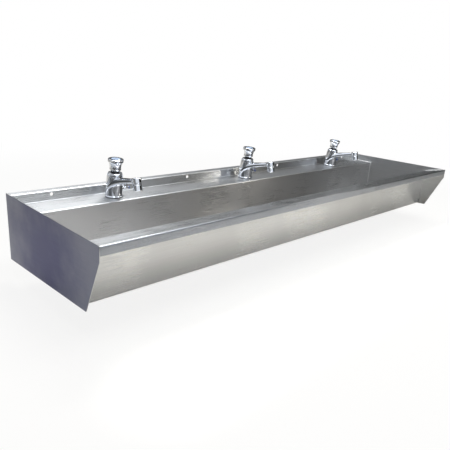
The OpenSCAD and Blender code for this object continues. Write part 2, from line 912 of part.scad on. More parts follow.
module collar(x) {
    r = head_d / 2;
    color("whitesmoke")
    at_head(x)
        difference() {
            rotate_extrude()
                polygon([
                    [0, 0], [r - collar_edge, 0], [r, collar_edge], [r, collar_h - collar_band_end],
                    [r - collar_groove_d, collar_h - collar_band_end + collar_groove_d / 2],
                    [r - collar_groove_d, collar_h - collar_band_end + collar_groove_w],
                    [r - collar_edge, collar_h - collar_groove_d - collar_edge],
                    [r - collar_edge, collar_h - collar_edge],
                    [r - 2 * collar_edge, collar_h], [0, collar_h]
                ]);
            translate([0, 0, -eps]) cylinder(d = neck_d + 2 * seat_gap, h = collar_h + 2 * eps);
        }
}

module button(x) {
    r0 = button_base_d / 2;
    r1 = button_d / 2 - button_rim_r;
    h = button_h;
    band_z = h - button_band_h;
    side = [for (t = [0:0.1:1])
        [
            bezier(concat([for (w = button_waist) r0 + w], button_d / 2 - button_step), t),
            bezier(concat(button_step_z, h * button_flare, band_z), t)
        ]];
    rim = [for (a = [0:15:90]) [r1 + button_rim_r * cos(a), h - button_rim_r + button_rim_r * sin(a)]];
    color("whitesmoke")
    at_head(x)
        translate([0, 0, button_z])
            difference() {
                rotate_extrude()
                    polygon(concat(
                        [[0, 0], [r0 - button_edge, 0], [r0, button_edge]],
                        side,
                        [[button_d / 2, band_z + button_step]],
                        rim,
                        [[0, h]]
                    ));
                // Skirt that slides over the neck
                translate([0, 0, -eps]) cylinder(d = neck_d + 2 * skirt_gap, h = skirt_h + eps);
                // Chamber for the spring
                cylinder(d = chamber_d, h = ceiling_h);
                // Socket for the stem
                cylinder(d = stem_d + 2 * run_gap, h = ceiling_h + stem_socket);
                // Recess for the index disc
                translate([0, 0, h - index_t + index_proud])
                    cylinder(d = index_d + 2 * seat_gap, h = index_t + eps);
            }
}

module index_disc(x) {
    r = index_d / 2;
    color("skyblue")
    at_head(x)
        translate([0, 0, button_z + button_h - index_t + index_proud])
            rotate_extrude()
                polygon([
                    [0, 0], [r, 0], [r, index_t - index_edge],
                    [r - index_edge, index_t], [0, index_t + index_proud]
                ]);
}

module stem(x) {
    color("silver")
    at_head(x)
        translate([0, 0, -stem_in])
            cylinder(d = stem_d, h = stem_in + button_z + ceiling_h + stem_socket - seat_gap);
}

// Helical return spring between the neck and the button's ceiling
module spring(x) {
    z0 = neck_h + pass_gap + wire_d / 2;
    z1 = button_z + ceiling_h - pass_gap - wire_d / 2;
    n = spring_turns * spring_steps;
    rise = atan2(z1 - z0, spring_turns * PI * spring_d);
    points = [for (k = [0:n], i = [0:spring_sides - 1])
        let (
            a = 360 * k / spring_steps,
            b = 360 * i / spring_sides,
            out = [cos(a), sin(a), 0],
            up = [sin(a) * sin(rise), -cos(a) * sin(rise), cos(rise)]
        )
        out * spring_d / 2 + [0, 0, z0 + (z1 - z0) * k / n] + (out * cos(b) + up * sin(b)) * wire_d / 2];
    s = spring_sides;
    sides = [for (k = [0:n - 1], i = [0:s - 1])
        let (j = (i + 1) % s)
        each [
            [k * s + i, (k + 1) * s + j, (k + 1) * s + i],
            [k * s + i, k * s + j, (k + 1) * s + j]
        ]];
    caps = [
        [for (i = [s - 1:-1:0]) i],
        [for (i = [0:s - 1]) n * s + i]
    ];
    color("gray")
    at_head(x)
        polyhedron(points, concat(caps, sides), convexity = 10);
}

// ---------- mixing lever ----------

// Moves children to the lever's axis at the boss face, with z pointing out along +X
module at_lever(x) {
    at_tap(x)
        translate([boss_x + pass_gap, 0, lever_z])
            rotate([0, 90, 0]) children();
}

module lever(x) {
    color("whitesmoke")
    difference() {
        at_lever(x)
            union() {
                translate([0, 0, -journal_l]) cylinder(d = journal_d, h = journal_l + eps);
                rotate_extrude()
                    polygon([
                        [0, 0], [hub_d / 2, 0], [hub_d / 2, hub_t - lever_edge],
                        [hub_d / 2 - lever_edge, hub_t],
                        [barrel_d / 2, hub_t], [barrel_d / 2, hub_t + barrel_l], [0, hub_t + barrel_l]
                    ]);
            }
        // Cross hole for the pin's spigot
        at_tap(x)
            translate([boss_x + pass_gap + pin_z, 0, lever_z - pin_spigot_d / 2])
                cylinder(d = pin_spigot_d + 2 * seat_gap, h = barrel_d);
        // Socket for the cap's spigot
        at_lever(x)
            translate([0, 0, hub_t + barrel_l - cap_spigot_l - seat_gap])
                cylinder(d = cap_spigot_d + 2 * seat_gap, h = cap_spigot_l + eps);
    }
}

module lever_pin(x) {
    r = barrel_d / 2;
    color("whitesmoke")
    at_tap(x)
        translate([boss_x + pass_gap + pin_z, 0, lever_z])
            union() {
                difference() {
                    rotate_extrude()
                        polygon([[0, 0], [r, 0], [r, pin_l - tip_edge], [r - tip_edge, pin_l], [0, pin_l]]);
                    translate([-barrel_l, 0, 0])
                        rotate([0, 90, 0]) cylinder(d = barrel_d + 2 * seat_gap, h = 2 * barrel_l);
                }
                translate([0, 0, -pin_spigot_d / 2 + seat_gap])
                    cylinder(d = pin_spigot_d, h = barrel_d);
            }
}

module lever_cap(x) {
    r = cap_d / 2;
    color("royalblue")
    at_lever(x)
        translate([0, 0, hub_t + barrel_l])
            union() {
                rotate_extrude()
                    polygon([[0, 0], [r, 0], [r, cap_t - tip_edge], [r - tip_edge, cap_t], [0, cap_t]]);
                translate([0, 0, -cap_spigot_l]) cylinder(d = cap_spigot_d, h = cap_spigot_l + eps);
            }
}

// ---------- pieces ----------

tap_ledge();
bowl();
end_panel(-1);  // left_end_panel
end_panel(1);  // right_end_panel
wall_bracket(bracket_xs[0]);  // left_wall_bracket
wall_bracket(bracket_xs[1]);  // right_wall_bracket
bracket_studs();
bracket_washers();
bracket_nuts();
waste_body();
waste_grate();
grate_screw();
waste_top_seal();
waste_bottom_seal();
waste_nut();
tap_rubber_washers();
tap_steel_washers();
tap_back_nuts();
tap_body(tap_xs[0]);  // left_tap_body
tap_body(tap_xs[1]);  // centre_tap_body
tap_body(tap_xs[2]);  // right_tap_body
tap_gasket(tap_xs[0]);  // left_tap_gasket
tap_gasket(tap_xs[1]);  // centre_tap_gasket
tap_gasket(tap_xs[2]);  // right_tap_gasket
tap_shank(tap_xs[0]);  // left_tap_shank
tap_shank(tap_xs[1]);  // centre_tap_shank
tap_shank(tap_xs[2]);  // right_tap_shank
nozzle(tap_xs[0]);  // left_nozzle
nozzle(tap_xs[1]);  // centre_nozzle
nozzle(tap_xs[2]);  // right_nozzle
aerator(tap_xs[0]);  // left_aerator
aerator(tap_xs[1]);  // centre_aerator
aerator(tap_xs[2]);  // right_aerator
cartridge(tap_xs[0]);  // left_cartridge
cartridge(tap_xs[1]);  // centre_cartridge
cartridge(tap_xs[2]);  // right_cartridge
collar(tap_xs[0]);  // left_collar
collar(tap_xs[1]);  // centre_collar
collar(tap_xs[2]);  // right_collar
button(tap_xs[0]);  // left_button
button(tap_xs[1]);  // centre_button
button(tap_xs[2]);  // right_button
index_disc(tap_xs[0]);  // left_index
index_disc(tap_xs[1]);  // centre_index
index_disc(tap_xs[2]);  // right_index
stem(tap_xs[0]);  // left_stem
stem(tap_xs[1]);  // centre_stem
stem(tap_xs[2]);  // right_stem
spring(tap_xs[0]);  // left_spring
spring(tap_xs[1]);  // centre_spring
spring(tap_xs[2]);  // right_spring
lever(tap_xs[0]);  // left_lever
lever(tap_xs[1]);  // centre_lever
lever(tap_xs[2]);  // right_lever
lever_pin(tap_xs[0]);  // left_lever_pin
lever_pin(tap_xs[1]);  // centre_lever_pin
lever_pin(tap_xs[2]);  // right_lever_pin
lever_cap(tap_xs[0]);  // left_lever_cap
lever_cap(tap_xs[1]);  // centre_lever_cap
lever_cap(tap_xs[2]);  // right_lever_cap
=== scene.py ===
# %% [markdown]
# # A wall-hung steel wash trough
#
# The trough is folded from sheet steel, closed by two end panels, and carries three chromed
# self-closing taps. The construction is already packed as solids, so this lesson dresses it: it
# loads the solids, gives each its finish, and models what sheet metal and castings show up close.

import json
import math

import bmesh
import bpy
from mathutils import Matrix, Vector

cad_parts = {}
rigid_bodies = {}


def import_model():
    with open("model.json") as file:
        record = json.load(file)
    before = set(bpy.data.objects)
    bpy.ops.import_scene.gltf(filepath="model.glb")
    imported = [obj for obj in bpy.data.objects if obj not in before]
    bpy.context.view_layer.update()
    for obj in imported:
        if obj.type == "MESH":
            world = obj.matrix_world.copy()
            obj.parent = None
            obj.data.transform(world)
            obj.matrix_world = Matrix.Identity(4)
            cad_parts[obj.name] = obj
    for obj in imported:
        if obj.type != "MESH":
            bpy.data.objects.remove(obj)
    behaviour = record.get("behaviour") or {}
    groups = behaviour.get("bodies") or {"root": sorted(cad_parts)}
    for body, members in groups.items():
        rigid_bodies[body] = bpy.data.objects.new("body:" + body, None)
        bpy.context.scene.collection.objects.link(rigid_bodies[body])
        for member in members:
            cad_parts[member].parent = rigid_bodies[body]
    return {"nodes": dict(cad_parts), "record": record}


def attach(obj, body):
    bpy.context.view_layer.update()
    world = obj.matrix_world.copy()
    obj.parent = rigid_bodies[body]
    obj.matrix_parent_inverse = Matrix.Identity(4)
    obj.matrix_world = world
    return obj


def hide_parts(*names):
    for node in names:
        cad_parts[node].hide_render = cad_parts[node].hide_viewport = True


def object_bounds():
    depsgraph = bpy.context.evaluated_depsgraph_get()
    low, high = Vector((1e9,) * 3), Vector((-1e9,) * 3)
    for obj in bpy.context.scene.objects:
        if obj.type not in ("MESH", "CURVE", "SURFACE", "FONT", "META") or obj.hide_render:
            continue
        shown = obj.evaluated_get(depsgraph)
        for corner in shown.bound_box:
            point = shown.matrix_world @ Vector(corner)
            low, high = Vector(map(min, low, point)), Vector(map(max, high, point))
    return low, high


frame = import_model()
cad_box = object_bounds()
nodes = frame["nodes"]
MM = 0.001

# %% [markdown]
# ## The camera
#
# The photograph looks down on the trough from the user's left. Its place was worked out from the
# straight edges of the trough, so the picture's corners fall where the photograph has them. The
# camera also leans a little to one side, which a roll about its own view axis gives.

# %% Place the camera
CAMERA_PLACE = Vector((-1.3655, -1.3456, 0.4581))
CAMERA_TARGET = Vector((-0.216, -0.200, -0.0605))
CAMERA_ROLL = math.radians(3.8)
CAMERA_LENS = 37.57

camera_data = bpy.data.cameras.new("camera")
camera_data.lens = CAMERA_LENS
camera_data.sensor_width = 36.0
camera_data.clip_start = 0.05
camera_data.clip_end = 60.0
camera = bpy.data.objects.new("camera", camera_data)
bpy.context.scene.collection.objects.link(camera)
camera.rotation_mode = "QUATERNION"
aim = (CAMERA_TARGET - CAMERA_PLACE).to_track_quat("-Z", "Y").to_matrix().to_4x4()
camera.matrix_world = Matrix.Translation(CAMERA_PLACE) @ aim @ Matrix.Rotation(CAMERA_ROLL, 4, "Z")
bpy.context.scene.camera = camera
bpy.context.scene.view_settings.view_transform = "Standard"
print("camera lens", CAMERA_LENS, "mm, at", [round(v, 3) for v in CAMERA_PLACE])

# %% [markdown]
# ## Helpers for materials
#
# Colours are written as the hex values that a paint or picture program shows. Those are sRGB
# values, while the renderer counts in linear light, so one function turns them. A second function
# adds a shader node: its settings are properties, and its inputs are numbers or other sockets.
# Patterns lie on the object coordinates, which are metres here, so a scale is one over a real size.

# %% Colour and node helpers
def linear(code):
    """The linear colour of an sRGB hex value."""
    shares = [int(code[i:i + 2], 16) / 255 for i in (1, 3, 5)]
    return (*[s / 12.92 if s <= 0.04045 else ((s + 0.055) / 1.055) ** 2.4 for s in shares], 1.0)


def add_node(tree, kind, inputs=None, **settings):
    """Adds a shader node with its properties, and fills its inputs with values or sockets."""
    made = tree.nodes.new("ShaderNode" + kind)
    for name, value in settings.items():
        setattr(made, name, value)
    for name, value in (inputs or {}).items():
        socket = made.inputs[name]
        if isinstance(value, bpy.types.NodeSocket):
            tree.links.new(value, socket)
        else:
            socket.default_value = value
    return made


def new_finish(name):
    """An empty material with its shader, and the object coordinates in metres."""
    finish = bpy.data.materials.new(name)
    finish.use_nodes = True
    tree = finish.node_tree
    shader = tree.nodes["Principled BSDF"]
    place = add_node(tree, "TexCoord").outputs["Object"]
    return finish, tree, shader, place


def dress(names, finish):
    """Gives CAD solids a finish through their material slots."""
    for name in names:
        slots = nodes[name].material_slots
        if not slots:
            nodes[name].data.materials.append(finish)
        for one in slots:
            one.material = finish
    print(finish.name, "on", len(names), "solids")


# %% [markdown]
# ## Brushed stainless sheet
#
# Chrome-nickel steel sheet is sold ground with a belt, which leaves fine parallel scratches. Across
# the scratches a reflection smears, along them it stays sharp, so the finish needs more than one
# roughness number: long thin noise streaks set roughness, a faint tone and a very low bump, and a
# tangent that lies across the scratches stretches every highlight.
#
# A used trough is not one grey. Besides the smudges all over it, four tones lie on the ground sheet:
#
# - the pressed bends are rougher, and painted pale as a highlight that draws a light line along every
#   fold;
# - a thin grey film lies inside the bowl;
# - the lower half of the front wall is painted darker towards the bottom, as painted shade;
# - the face of the safe edge is painted darker and bluer, as painted shade.
#
# A bend is told from a flat by its normal, and the other tones by their place on the sheet.

# %% Helpers for ground metal
GRAIN_WIDTH = 0.0012     # real scratches are near 0.1 mm: drawn coarser, or no pixel would show them
GRAIN_LENGTH = 0.12


def scratches(tree, place, along):
    """Long thin noise streaks along one axis, from 0 to 1."""
    scale = [1 / GRAIN_LENGTH if axis == along else 1 / GRAIN_WIDTH for axis in "XYZ"]
    stretched = add_node(tree, "Mapping", {"Vector": place, "Scale": scale}, vector_type="POINT")
    return add_node(tree, "TexNoise", {
        "Vector": stretched.outputs[0], "Scale": 1.0, "Detail": 3.0}).outputs["Fac"]


def lay_grain(tree, shader, along, stretch):
    """Turns the shader's highlights so that they smear across scratches that run along an axis."""
    grain = tuple(1.0 if axis == along else 0.0 for axis in "XYZ")
    facing = add_node(tree, "NewGeometry").outputs["Normal"]
    across = add_node(tree, "VectorMath", {0: facing, 1: grain}, operation="CROSS_PRODUCT")
    tree.links.new(across.outputs[0], shader.inputs["Tangent"])
    shader.inputs["Anisotropic"].default_value = stretch


# %% Make the brushed sheet finish
GRAIN_DEPTH, GRAIN_STRENGTH = 0.0002, 0.12
SHEET_STRETCH = 0.9      # how far a highlight smears across the scratches, where 1 is all of it
SMUDGE_SIZE = 0.16       # wiped cloth marks and dried drops, a hand's width apart
SMUDGE_SHINE, SMUDGE_DULL = 0.03, 0.05    # how far they lower and raise the roughness
BEND_DULL = 0.12         # how much rougher a bend is than a flat
FRONT_WALL_Y, SAFE_EDGE_Y, BACK_WALL_Y = -0.422, -0.515, -0.133
# Each tone is absent at the first of two values and full at the second
UNEVEN = (0.7, 1.3)      # scratches and smudges added up
BENDS = (0.28, 0.4)      # a bend faces both out and up: product of the normal's two shares
BEHIND_FRONT_WALL = (FRONT_WALL_Y + 0.0008, FRONT_WALL_Y + 0.0016)
BEFORE_BACK_WALL = (BACK_WALL_Y + 0.001, BACK_WALL_Y)
# Painted shade on the front wall: its outer face, darker from the first height down to the second
OUTER_FACE = (FRONT_WALL_Y + 0.0011, FRONT_WALL_Y + 0.0004)
PAINTED_SHADE_HEIGHTS = (0.02, -0.0736)    # heights on the front wall
# The face of the safe edge, which gets a darker, bluer tone as painted shade
EDGE_FACE = (SAFE_EDGE_Y + 0.004, SAFE_EDGE_Y + 0.001)


def brushed_sheet(name, roughness, pale, tones):
    """Sheet steel with belt-ground scratches along X, and the tones of dirt and painted light over its
    pale grey.
    """
    finish, tree, shader, place = new_finish(name)
    lay_grain(tree, shader, "X", SHEET_STRETCH)
    streaks = scratches(tree, place, "X")
    clouds = add_node(tree, "TexNoise", {"Vector": place, "Scale": 1 / SMUDGE_SIZE, "Detail": 2.0})
    both = add_node(tree, "Math", {0: streaks, 1: clouds.outputs["Fac"]}, operation="ADD")
    facing = add_node(tree, "SeparateXYZ", {0: add_node(tree, "TexCoord").outputs["Normal"]}).outputs
    slope = add_node(tree, "Math", {0: facing["Y"], 1: facing["Z"]}, operation="MULTIPLY")
    steep = add_node(tree, "Math", {0: slope.outputs[0]}, operation="ABSOLUTE")
    where = add_node(tree, "SeparateXYZ", {0: place}).outputs
    places = {
        "smudges": [(both.outputs[0], UNEVEN, "LINEAR")],
        "bends": [(steep.outputs[0], BENDS, "LINEAR")],
        "film": [(where["Y"], BEHIND_FRONT_WALL, "LINEAR"), (where["Y"], BEFORE_BACK_WALL, "LINEAR")],
        "painted lower wall shade": [(where["Y"], OUTER_FACE, "LINEAR"), (where["Z"], PAINTED_SHADE_HEIGHTS, "SMOOTHSTEP")],
        "safe edge": [(where["Y"], EDGE_FACE, "LINEAR")],
    }
    tone, shares = linear(pale), {}
    for label, limits in places.items():
        share = 1.0
        for value, (starts, full), fade in limits:
            part = add_node(tree, "MapRange", {
                "Value": value, "From Min": starts, "From Max": full}, interpolation_type=fade)
            share = add_node(tree, "Math", {0: share, 1: part.outputs[0]}, operation="MULTIPLY").outputs[0]
        shares[label] = share
        tone = add_node(tree, "Mix", {
            "Factor": share, "A": tone, "B": linear(tones[label])}, data_type="RGBA").outputs["Result"]
    flat_gloss = add_node(tree, "MapRange", {
        "Value": shares["smudges"], "To Min": roughness - SMUDGE_SHINE,
        "To Max": roughness + SMUDGE_DULL})
    gloss = add_node(tree, "Mix", {
        "Factor": shares["bends"], "A": flat_gloss.outputs[0], "B": roughness + BEND_DULL},
        data_type="FLOAT")
    relief = add_node(tree, "Bump", {
        "Height": streaks, "Strength": GRAIN_STRENGTH, "Distance": GRAIN_DEPTH})
    shader.inputs["Metallic"].default_value = 1.0
    tree.links.new(tone, shader.inputs["Base Color"])
    tree.links.new(gloss.outputs["Result"], shader.inputs["Roughness"])
    tree.links.new(relief.outputs[0], shader.inputs["Normal"])
    print(name, "with", len(tree.nodes), "shader nodes")
    return finish


# The pale bends are a painted highlight; the lower front wall and the safe edge are painted shade.
finishes = {"sheet_steel": brushed_sheet("brushed stainless sheet", 0.28, "#d4d5d6", {
    "smudges": "#c8c9ca", "bends": "#f6f7f8", "film": "#cecdcc", "painted lower wall shade": "#9c9d9f",
    "safe edge": "#9ea2aa"})}

# %% [markdown]
# ## The end panels
#
# The outer faces of the end panels are rougher than the ground trough, and their colour is a
# painted reflection: dark and blue-grey, deepest in the middle and paler towards the edges. Only
# their inner faces match the trough. One material serves both: the object's normal says which side
# of the sheet a point lies on.

# %% Make the end panel finish
HALF_LENGTH = (cad_box[1].x - cad_box[0].x) / 2
FACES_OUT = (0.4 * HALF_LENGTH, 0.6 * HALF_LENGTH)    # the normal's X times the place's X
PANEL_STRETCH = 0.5      # a rolled skin smears a highlight less than ground sheet does
# Where the painted reflection on the outer face is darkest, and how it pales outwards
PANEL_MIDDLE = (0.0, -0.24, 0.0)
PANEL_FADE = (0.04, 0.27)     # metres from the middle: still dark, and fully pale
# The patches below are blotches in the painted reflection
BLOTCH_SIZE = 1 / 9           # cloudy patches of the mill skin, about 11 cm across
BLOTCH_SHIFT = 0.05           # how far they push the fade's border about
NOISE_SPAN = (0.3, 0.7)       # nearly all values of a noise texture lie between these
GRAIN_TONES = (0.94, 1.06)    # darker and paler streaks
GROUND_ROUGHNESS, MILL_ROUGHNESS = 0.32, 0.46


def end_panel_sheet(name, inner, painted_reflection_edge, painted_reflection_middle):
    """Sheet with a ground inner face and a dull outer face, painted blue-grey as a reflection."""
    finish, tree, shader, place = new_finish(name)
    lay_grain(tree, shader, "Y", PANEL_STRETCH)
    facing = add_node(tree, "SeparateXYZ", {0: add_node(tree, "TexCoord").outputs["Normal"]}).outputs
    where = add_node(tree, "SeparateXYZ", {0: place}).outputs
    outward = add_node(tree, "Math", {0: facing["X"], 1: where["X"]}, operation="MULTIPLY")
    outer = add_node(tree, "MapRange", {
        "Value": outward.outputs[0], "From Min": FACES_OUT[0], "From Max": FACES_OUT[1]})
    flat = add_node(tree, "VectorMath", {0: place, 1: (0, 1, 1)}, operation="MULTIPLY")
    apart = add_node(tree, "VectorMath", {0: flat.outputs[0], 1: PANEL_MIDDLE}, operation="DISTANCE")
    blotch = add_node(tree, "TexNoise", {
        "Vector": place, "Scale": 1 / BLOTCH_SIZE, "Detail": 3.0, "Roughness": 0.6})
    uneven = add_node(tree, "MapRange", {
        "Value": blotch.outputs["Fac"], "From Min": NOISE_SPAN[0], "From Max": NOISE_SPAN[1],
        "To Min": -BLOTCH_SHIFT, "To Max": BLOTCH_SHIFT})
    border = add_node(tree, "Math", {0: apart.outputs["Value"], 1: uneven.outputs[0]}, operation="ADD")
    fade = add_node(tree, "MapRange", {
        "Value": border.outputs[0], "From Min": PANEL_FADE[0], "From Max": PANEL_FADE[1]},
        interpolation_type="SMOOTHSTEP")
    # The outer face's tone: a painted reflection, dark round the middle and pale at the edges
    painted_reflection = add_node(tree, "Mix", {
        "Factor": fade.outputs[0], "A": linear(painted_reflection_middle), "B": linear(painted_reflection_edge)}, data_type="RGBA")
    grained = add_node(tree, "MapRange", {
        "Value": scratches(tree, place, "Y"), "From Min": NOISE_SPAN[0], "From Max": NOISE_SPAN[1],
        "To Min": GRAIN_TONES[0], "To Max": GRAIN_TONES[1]})
    tone = add_node(tree, "Mix", {
        "Factor": outer.outputs[0], "A": linear(inner), "B": painted_reflection.outputs["Result"]}, data_type="RGBA")
    lit = add_node(tree, "VectorMath", {
        0: tone.outputs["Result"], "Scale": grained.outputs[0]}, operation="SCALE")
    gloss = add_node(tree, "MapRange", {
        "Value": outer.outputs[0], "To Min": GROUND_ROUGHNESS, "To Max": MILL_ROUGHNESS})
    shader.inputs["Metallic"].default_value = 1.0
    tree.links.new(lit.outputs[0], shader.inputs["Base Color"])
    tree.links.new(gloss.outputs[0], shader.inputs["Roughness"])
    print(name, "with", len(tree.nodes), "shader nodes")
    return finish


# The outer faces' colours are a painted reflection.
finishes["panel_steel"] = end_panel_sheet(
    "end panel with painted reflection", inner="#c8c9ca", painted_reflection_edge="#8e91a2", painted_reflection_middle="#5f6184")

# %% [markdown]
# ## Chrome
#
# A chromed casting is a mirror. What keeps it from looking like a computer's mirror is handling: a
# faint film of soap and dried water whose edges change the gloss without changing the colour.

# %% Make the chrome
FILM_SIZE = 1 / 90       # dried drops, about 11 mm across
FILM_SPAN = (0.45, 0.75)
BARE_ROUGHNESS, FILM_ROUGHNESS = 0.025, 0.09

finish, tree, shader, place = new_finish("bright chrome plate")
film = add_node(tree, "TexNoise", {
    "Vector": place, "Scale": 1 / FILM_SIZE, "Detail": 4.0, "Roughness": 0.6})
spots = add_node(tree, "MapRange", {
    "Value": film.outputs["Fac"], "From Min": FILM_SPAN[0], "From Max": FILM_SPAN[1],
    "To Min": BARE_ROUGHNESS, "To Max": FILM_ROUGHNESS})
shader.inputs["Metallic"].default_value = 1.0
shader.inputs["Base Color"].default_value = linear("#e3e6ec")
tree.links.new(spots.outputs[0], shader.inputs["Roughness"])
finishes["chrome"] = finish
print(finish.name, "with", len(tree.nodes), "shader nodes")

# %% [markdown]
# ## Hidden metals
#
# Under the trough the parts are trade goods. Hot-dip galvanising leaves spangle, flat crystals that
# meet in straight borders, so cell noise gives each crystal its own grey. Screws and washers are
# plain bright steel, and the shanks and nuts are turned brass. Fine noise stands for the marks of
# their tools. The real marks are far finer, and drawn at their size no pixel would show them.

# %% Make the galvanised, bright and brass finishes
SPANGLE_SIZE = 0.007
FASTENER_MARKS, WIRE_MARKS, LATHE_MARKS = 1 / 400, 1 / 600, 1 / 300
MARK_SPAN = (0.35, 0.65)


def tinted_metal(name, pattern, pale, dark, smooth, rough):
    """A metal whose grey and gloss follow one pattern, a function from a tree and place to a socket."""
    finish, tree, shader, place = new_finish(name)
    share = pattern(tree, place)
    tone = add_node(tree, "Mix", {"Factor": share, "A": linear(pale), "B": linear(dark)}, data_type="RGBA")
    gloss = add_node(tree, "MapRange", {"Value": share, "To Min": smooth, "To Max": rough})
    shader.inputs["Metallic"].default_value = 1.0
    tree.links.new(tone.outputs["Result"], shader.inputs["Base Color"])
    tree.links.new(gloss.outputs[0], shader.inputs["Roughness"])
    return finish


def spangle(tree, place):
    """One random value from 0 to 1 for each crystal."""
    cells = add_node(tree, "TexVoronoi", {"Vector": place, "Scale": 1 / SPANGLE_SIZE})
    return add_node(tree, "SeparateColor", {0: cells.outputs["Color"]}).outputs[0]


def fine_noise(size, detail=3.0):
    """A pattern of noise, stretched to run from 0 to 1."""
    def pattern(tree, place):
        """Noise at this size, spread from nothing to full."""
        noise = add_node(tree, "TexNoise", {"Vector": place, "Scale": 1 / size, "Detail": detail})
        return add_node(tree, "MapRange", {
            "Value": noise.outputs["Fac"], "From Min": MARK_SPAN[0], "From Max": MARK_SPAN[1]}).outputs[0]
    return pattern


finishes["bracket_steel"] = tinted_metal("galvanised steel", spangle, "#b4b8bc", "#8e9398", 0.38, 0.55)
finishes["fastener_steel"] = tinted_metal(
    "bright fastener steel", fine_noise(FASTENER_MARKS), "#c2c4c6", "#a9abad", 0.22, 0.34)
finishes["spring_steel"] = tinted_metal(
    "drawn spring wire", fine_noise(WIRE_MARKS, detail=2.0), "#9a9ca0", "#7d7f84", 0.3, 0.42)
finishes["brass"] = tinted_metal(
    "turned brass", fine_noise(LATHE_MARKS), "#d3ae62", "#b8923f", 0.2, 0.36)
print("metals:", sorted(finishes))

# %% [markdown]
# ## Plastics and rubber
#
# Moulded pieces reflect little and evenly. Rubber is dark and greys where dust lies. The cap on
# the mixing lever carries the two colours that tell cold from hot, blue in front and red behind.

# %% Make the plastics and the rubber
MOULD_GRAIN = 0.002      # real grain is near 0.1 mm: drawn coarser, so that it shows
MOULD_UNEVEN = 0.04      # how far the roughness strays from its middle
TAP_Y = -81              # middle of a tap's foot, in front of the wall, in millimetres


def moulded(name, pale, dark, roughness):
    """A plain moulded material with a fine uneven surface."""
    finish, tree, shader, place = new_finish(name)
    share = fine_noise(MOULD_GRAIN)(tree, place)
    tone = add_node(tree, "Mix", {"Factor": share, "A": linear(pale), "B": linear(dark)}, data_type="RGBA")
    gloss = add_node(tree, "MapRange", {
        "Value": share, "To Min": roughness - MOULD_UNEVEN, "To Max": roughness + MOULD_UNEVEN})
    tree.links.new(tone.outputs["Result"], shader.inputs["Base Color"])
    tree.links.new(gloss.outputs[0], shader.inputs["Roughness"])
    return finish


finishes["rubber"] = moulded("dusty black rubber", "#2b2b2c", "#1c1c1d", 0.72)
# The cartridge's neck is made near black, so that the gap under the collar reads dark
finishes["sleeve_plastic"] = moulded("dark cartridge sleeve", "#1b1c20", "#141519", 0.38)
finishes["aerator_plastic"] = moulded("grey aerator grid", "#9b9ea4", "#8b8e94", 0.45)
finishes["index_plastic"] = moulded("pale blue index disc", "#c3d5ee", "#b7cbe8", 0.16)

finish, tree, shader, place = new_finish("two-colour lever cap")
depth = add_node(tree, "SeparateXYZ", {0: place}).outputs["Y"]
behind = add_node(tree, "Math", {0: depth, 1: TAP_Y * MM}, operation="GREATER_THAN")
halves = add_node(tree, "Mix", {
    "Factor": behind.outputs[0], "A": linear("#2f5fb3"), "B": linear("#c23a34")}, data_type="RGBA")
tree.links.new(halves.outputs["Result"], shader.inputs["Base Color"])
shader.inputs["Roughness"].default_value = 0.22
finishes["cap_plastic"] = finish
print("all finishes:", sorted(finishes))

# %% [markdown]
# ## Every solid gets its finish
#
# The record names a material slot for each solid. One loop hands every finish to the solids of its
# slot, so no solid stays plain, and a piece that is modelled later takes the same finish by name.

# %% Dress every solid by the slot that its record names
slot_of = {part["node"]: part["material_slot"] for part in frame["record"]["subparts"]}
for slot_name, finish in finishes.items():
    dress([name for name in nodes if slot_of[name] == slot_name], finish)

# %% [markdown]
# ## Turned pieces
#
# The solids behind this scene have few facets on their curved sides, and a mirror finish would show
# each one. Each turned piece is therefore spun again from its profile, with many more steps, and
# every corner of the profile gets the small radius that polishing leaves. Sizes are in millimetres
# and follow the solids, so the pieces fit each other as they do there.

# %% Sizes and places of a tap
SIDES = {"left": -600.0, "centre": 0.0, "right": 600.0}
FOOT = Vector((0, TAP_Y, 71.5))      # middle of a tap's foot, on its gasket
HEAD_Y, HEAD_Z = 5.5, 65             # the head's seat: in front of the foot's middle, and above it
LEAN = math.radians(6)
REACH, SPOUT_Z = 125, 83
SPOUT_RISE = math.radians(13)
SPOUT_END_H = 17
LEVER_Z, BOSS_X = 22, 29
SEAT_GAP, RUN_GAP, PASS_GAP = 0.1, 0.05, 0.3    # pieces that seat, shafts that run, faces that pass

at_foot = Matrix.Translation(FOOT)
at_head = at_foot @ Matrix.Translation((0, -HEAD_Y, HEAD_Z)) @ Matrix.Rotation(LEAN, 4, "X")
at_spout_end = (at_foot @ Matrix.Translation((0, -REACH, SPOUT_Z - SPOUT_END_H / 2))
                @ Matrix.Rotation(-SPOUT_RISE, 4, "X") @ Matrix.Translation((0, 0, -SPOUT_END_H / 2)))
sideways = Matrix.Rotation(math.pi / 2, 4, "Y")
at_lever = at_foot @ Matrix.Translation((BOSS_X + PASS_GAP, 0, LEVER_Z)) @ sideways
print("taps at", list(SIDES.values()), "mm, head leans", round(math.degrees(LEAN), 1), "degrees")

# %% Helpers that soften and spin a profile
SIDE_SHARE = 0.45        # of a side, the most that one rounded corner takes
SLIGHT_TURN = 0.15       # radians: a corner that turns less stays as it is
SAME_POINT = 1e-4        # points closer than this are merged


def round_off(start, corner, end, steps):
    """Points on a curve that leaves one side of a corner and lands on the other."""
    shares = [i / steps for i in range(steps + 1)]
    return [(1 - t) ** 2 * start + 2 * (1 - t) * t * corner + t * t * end for t in shares]


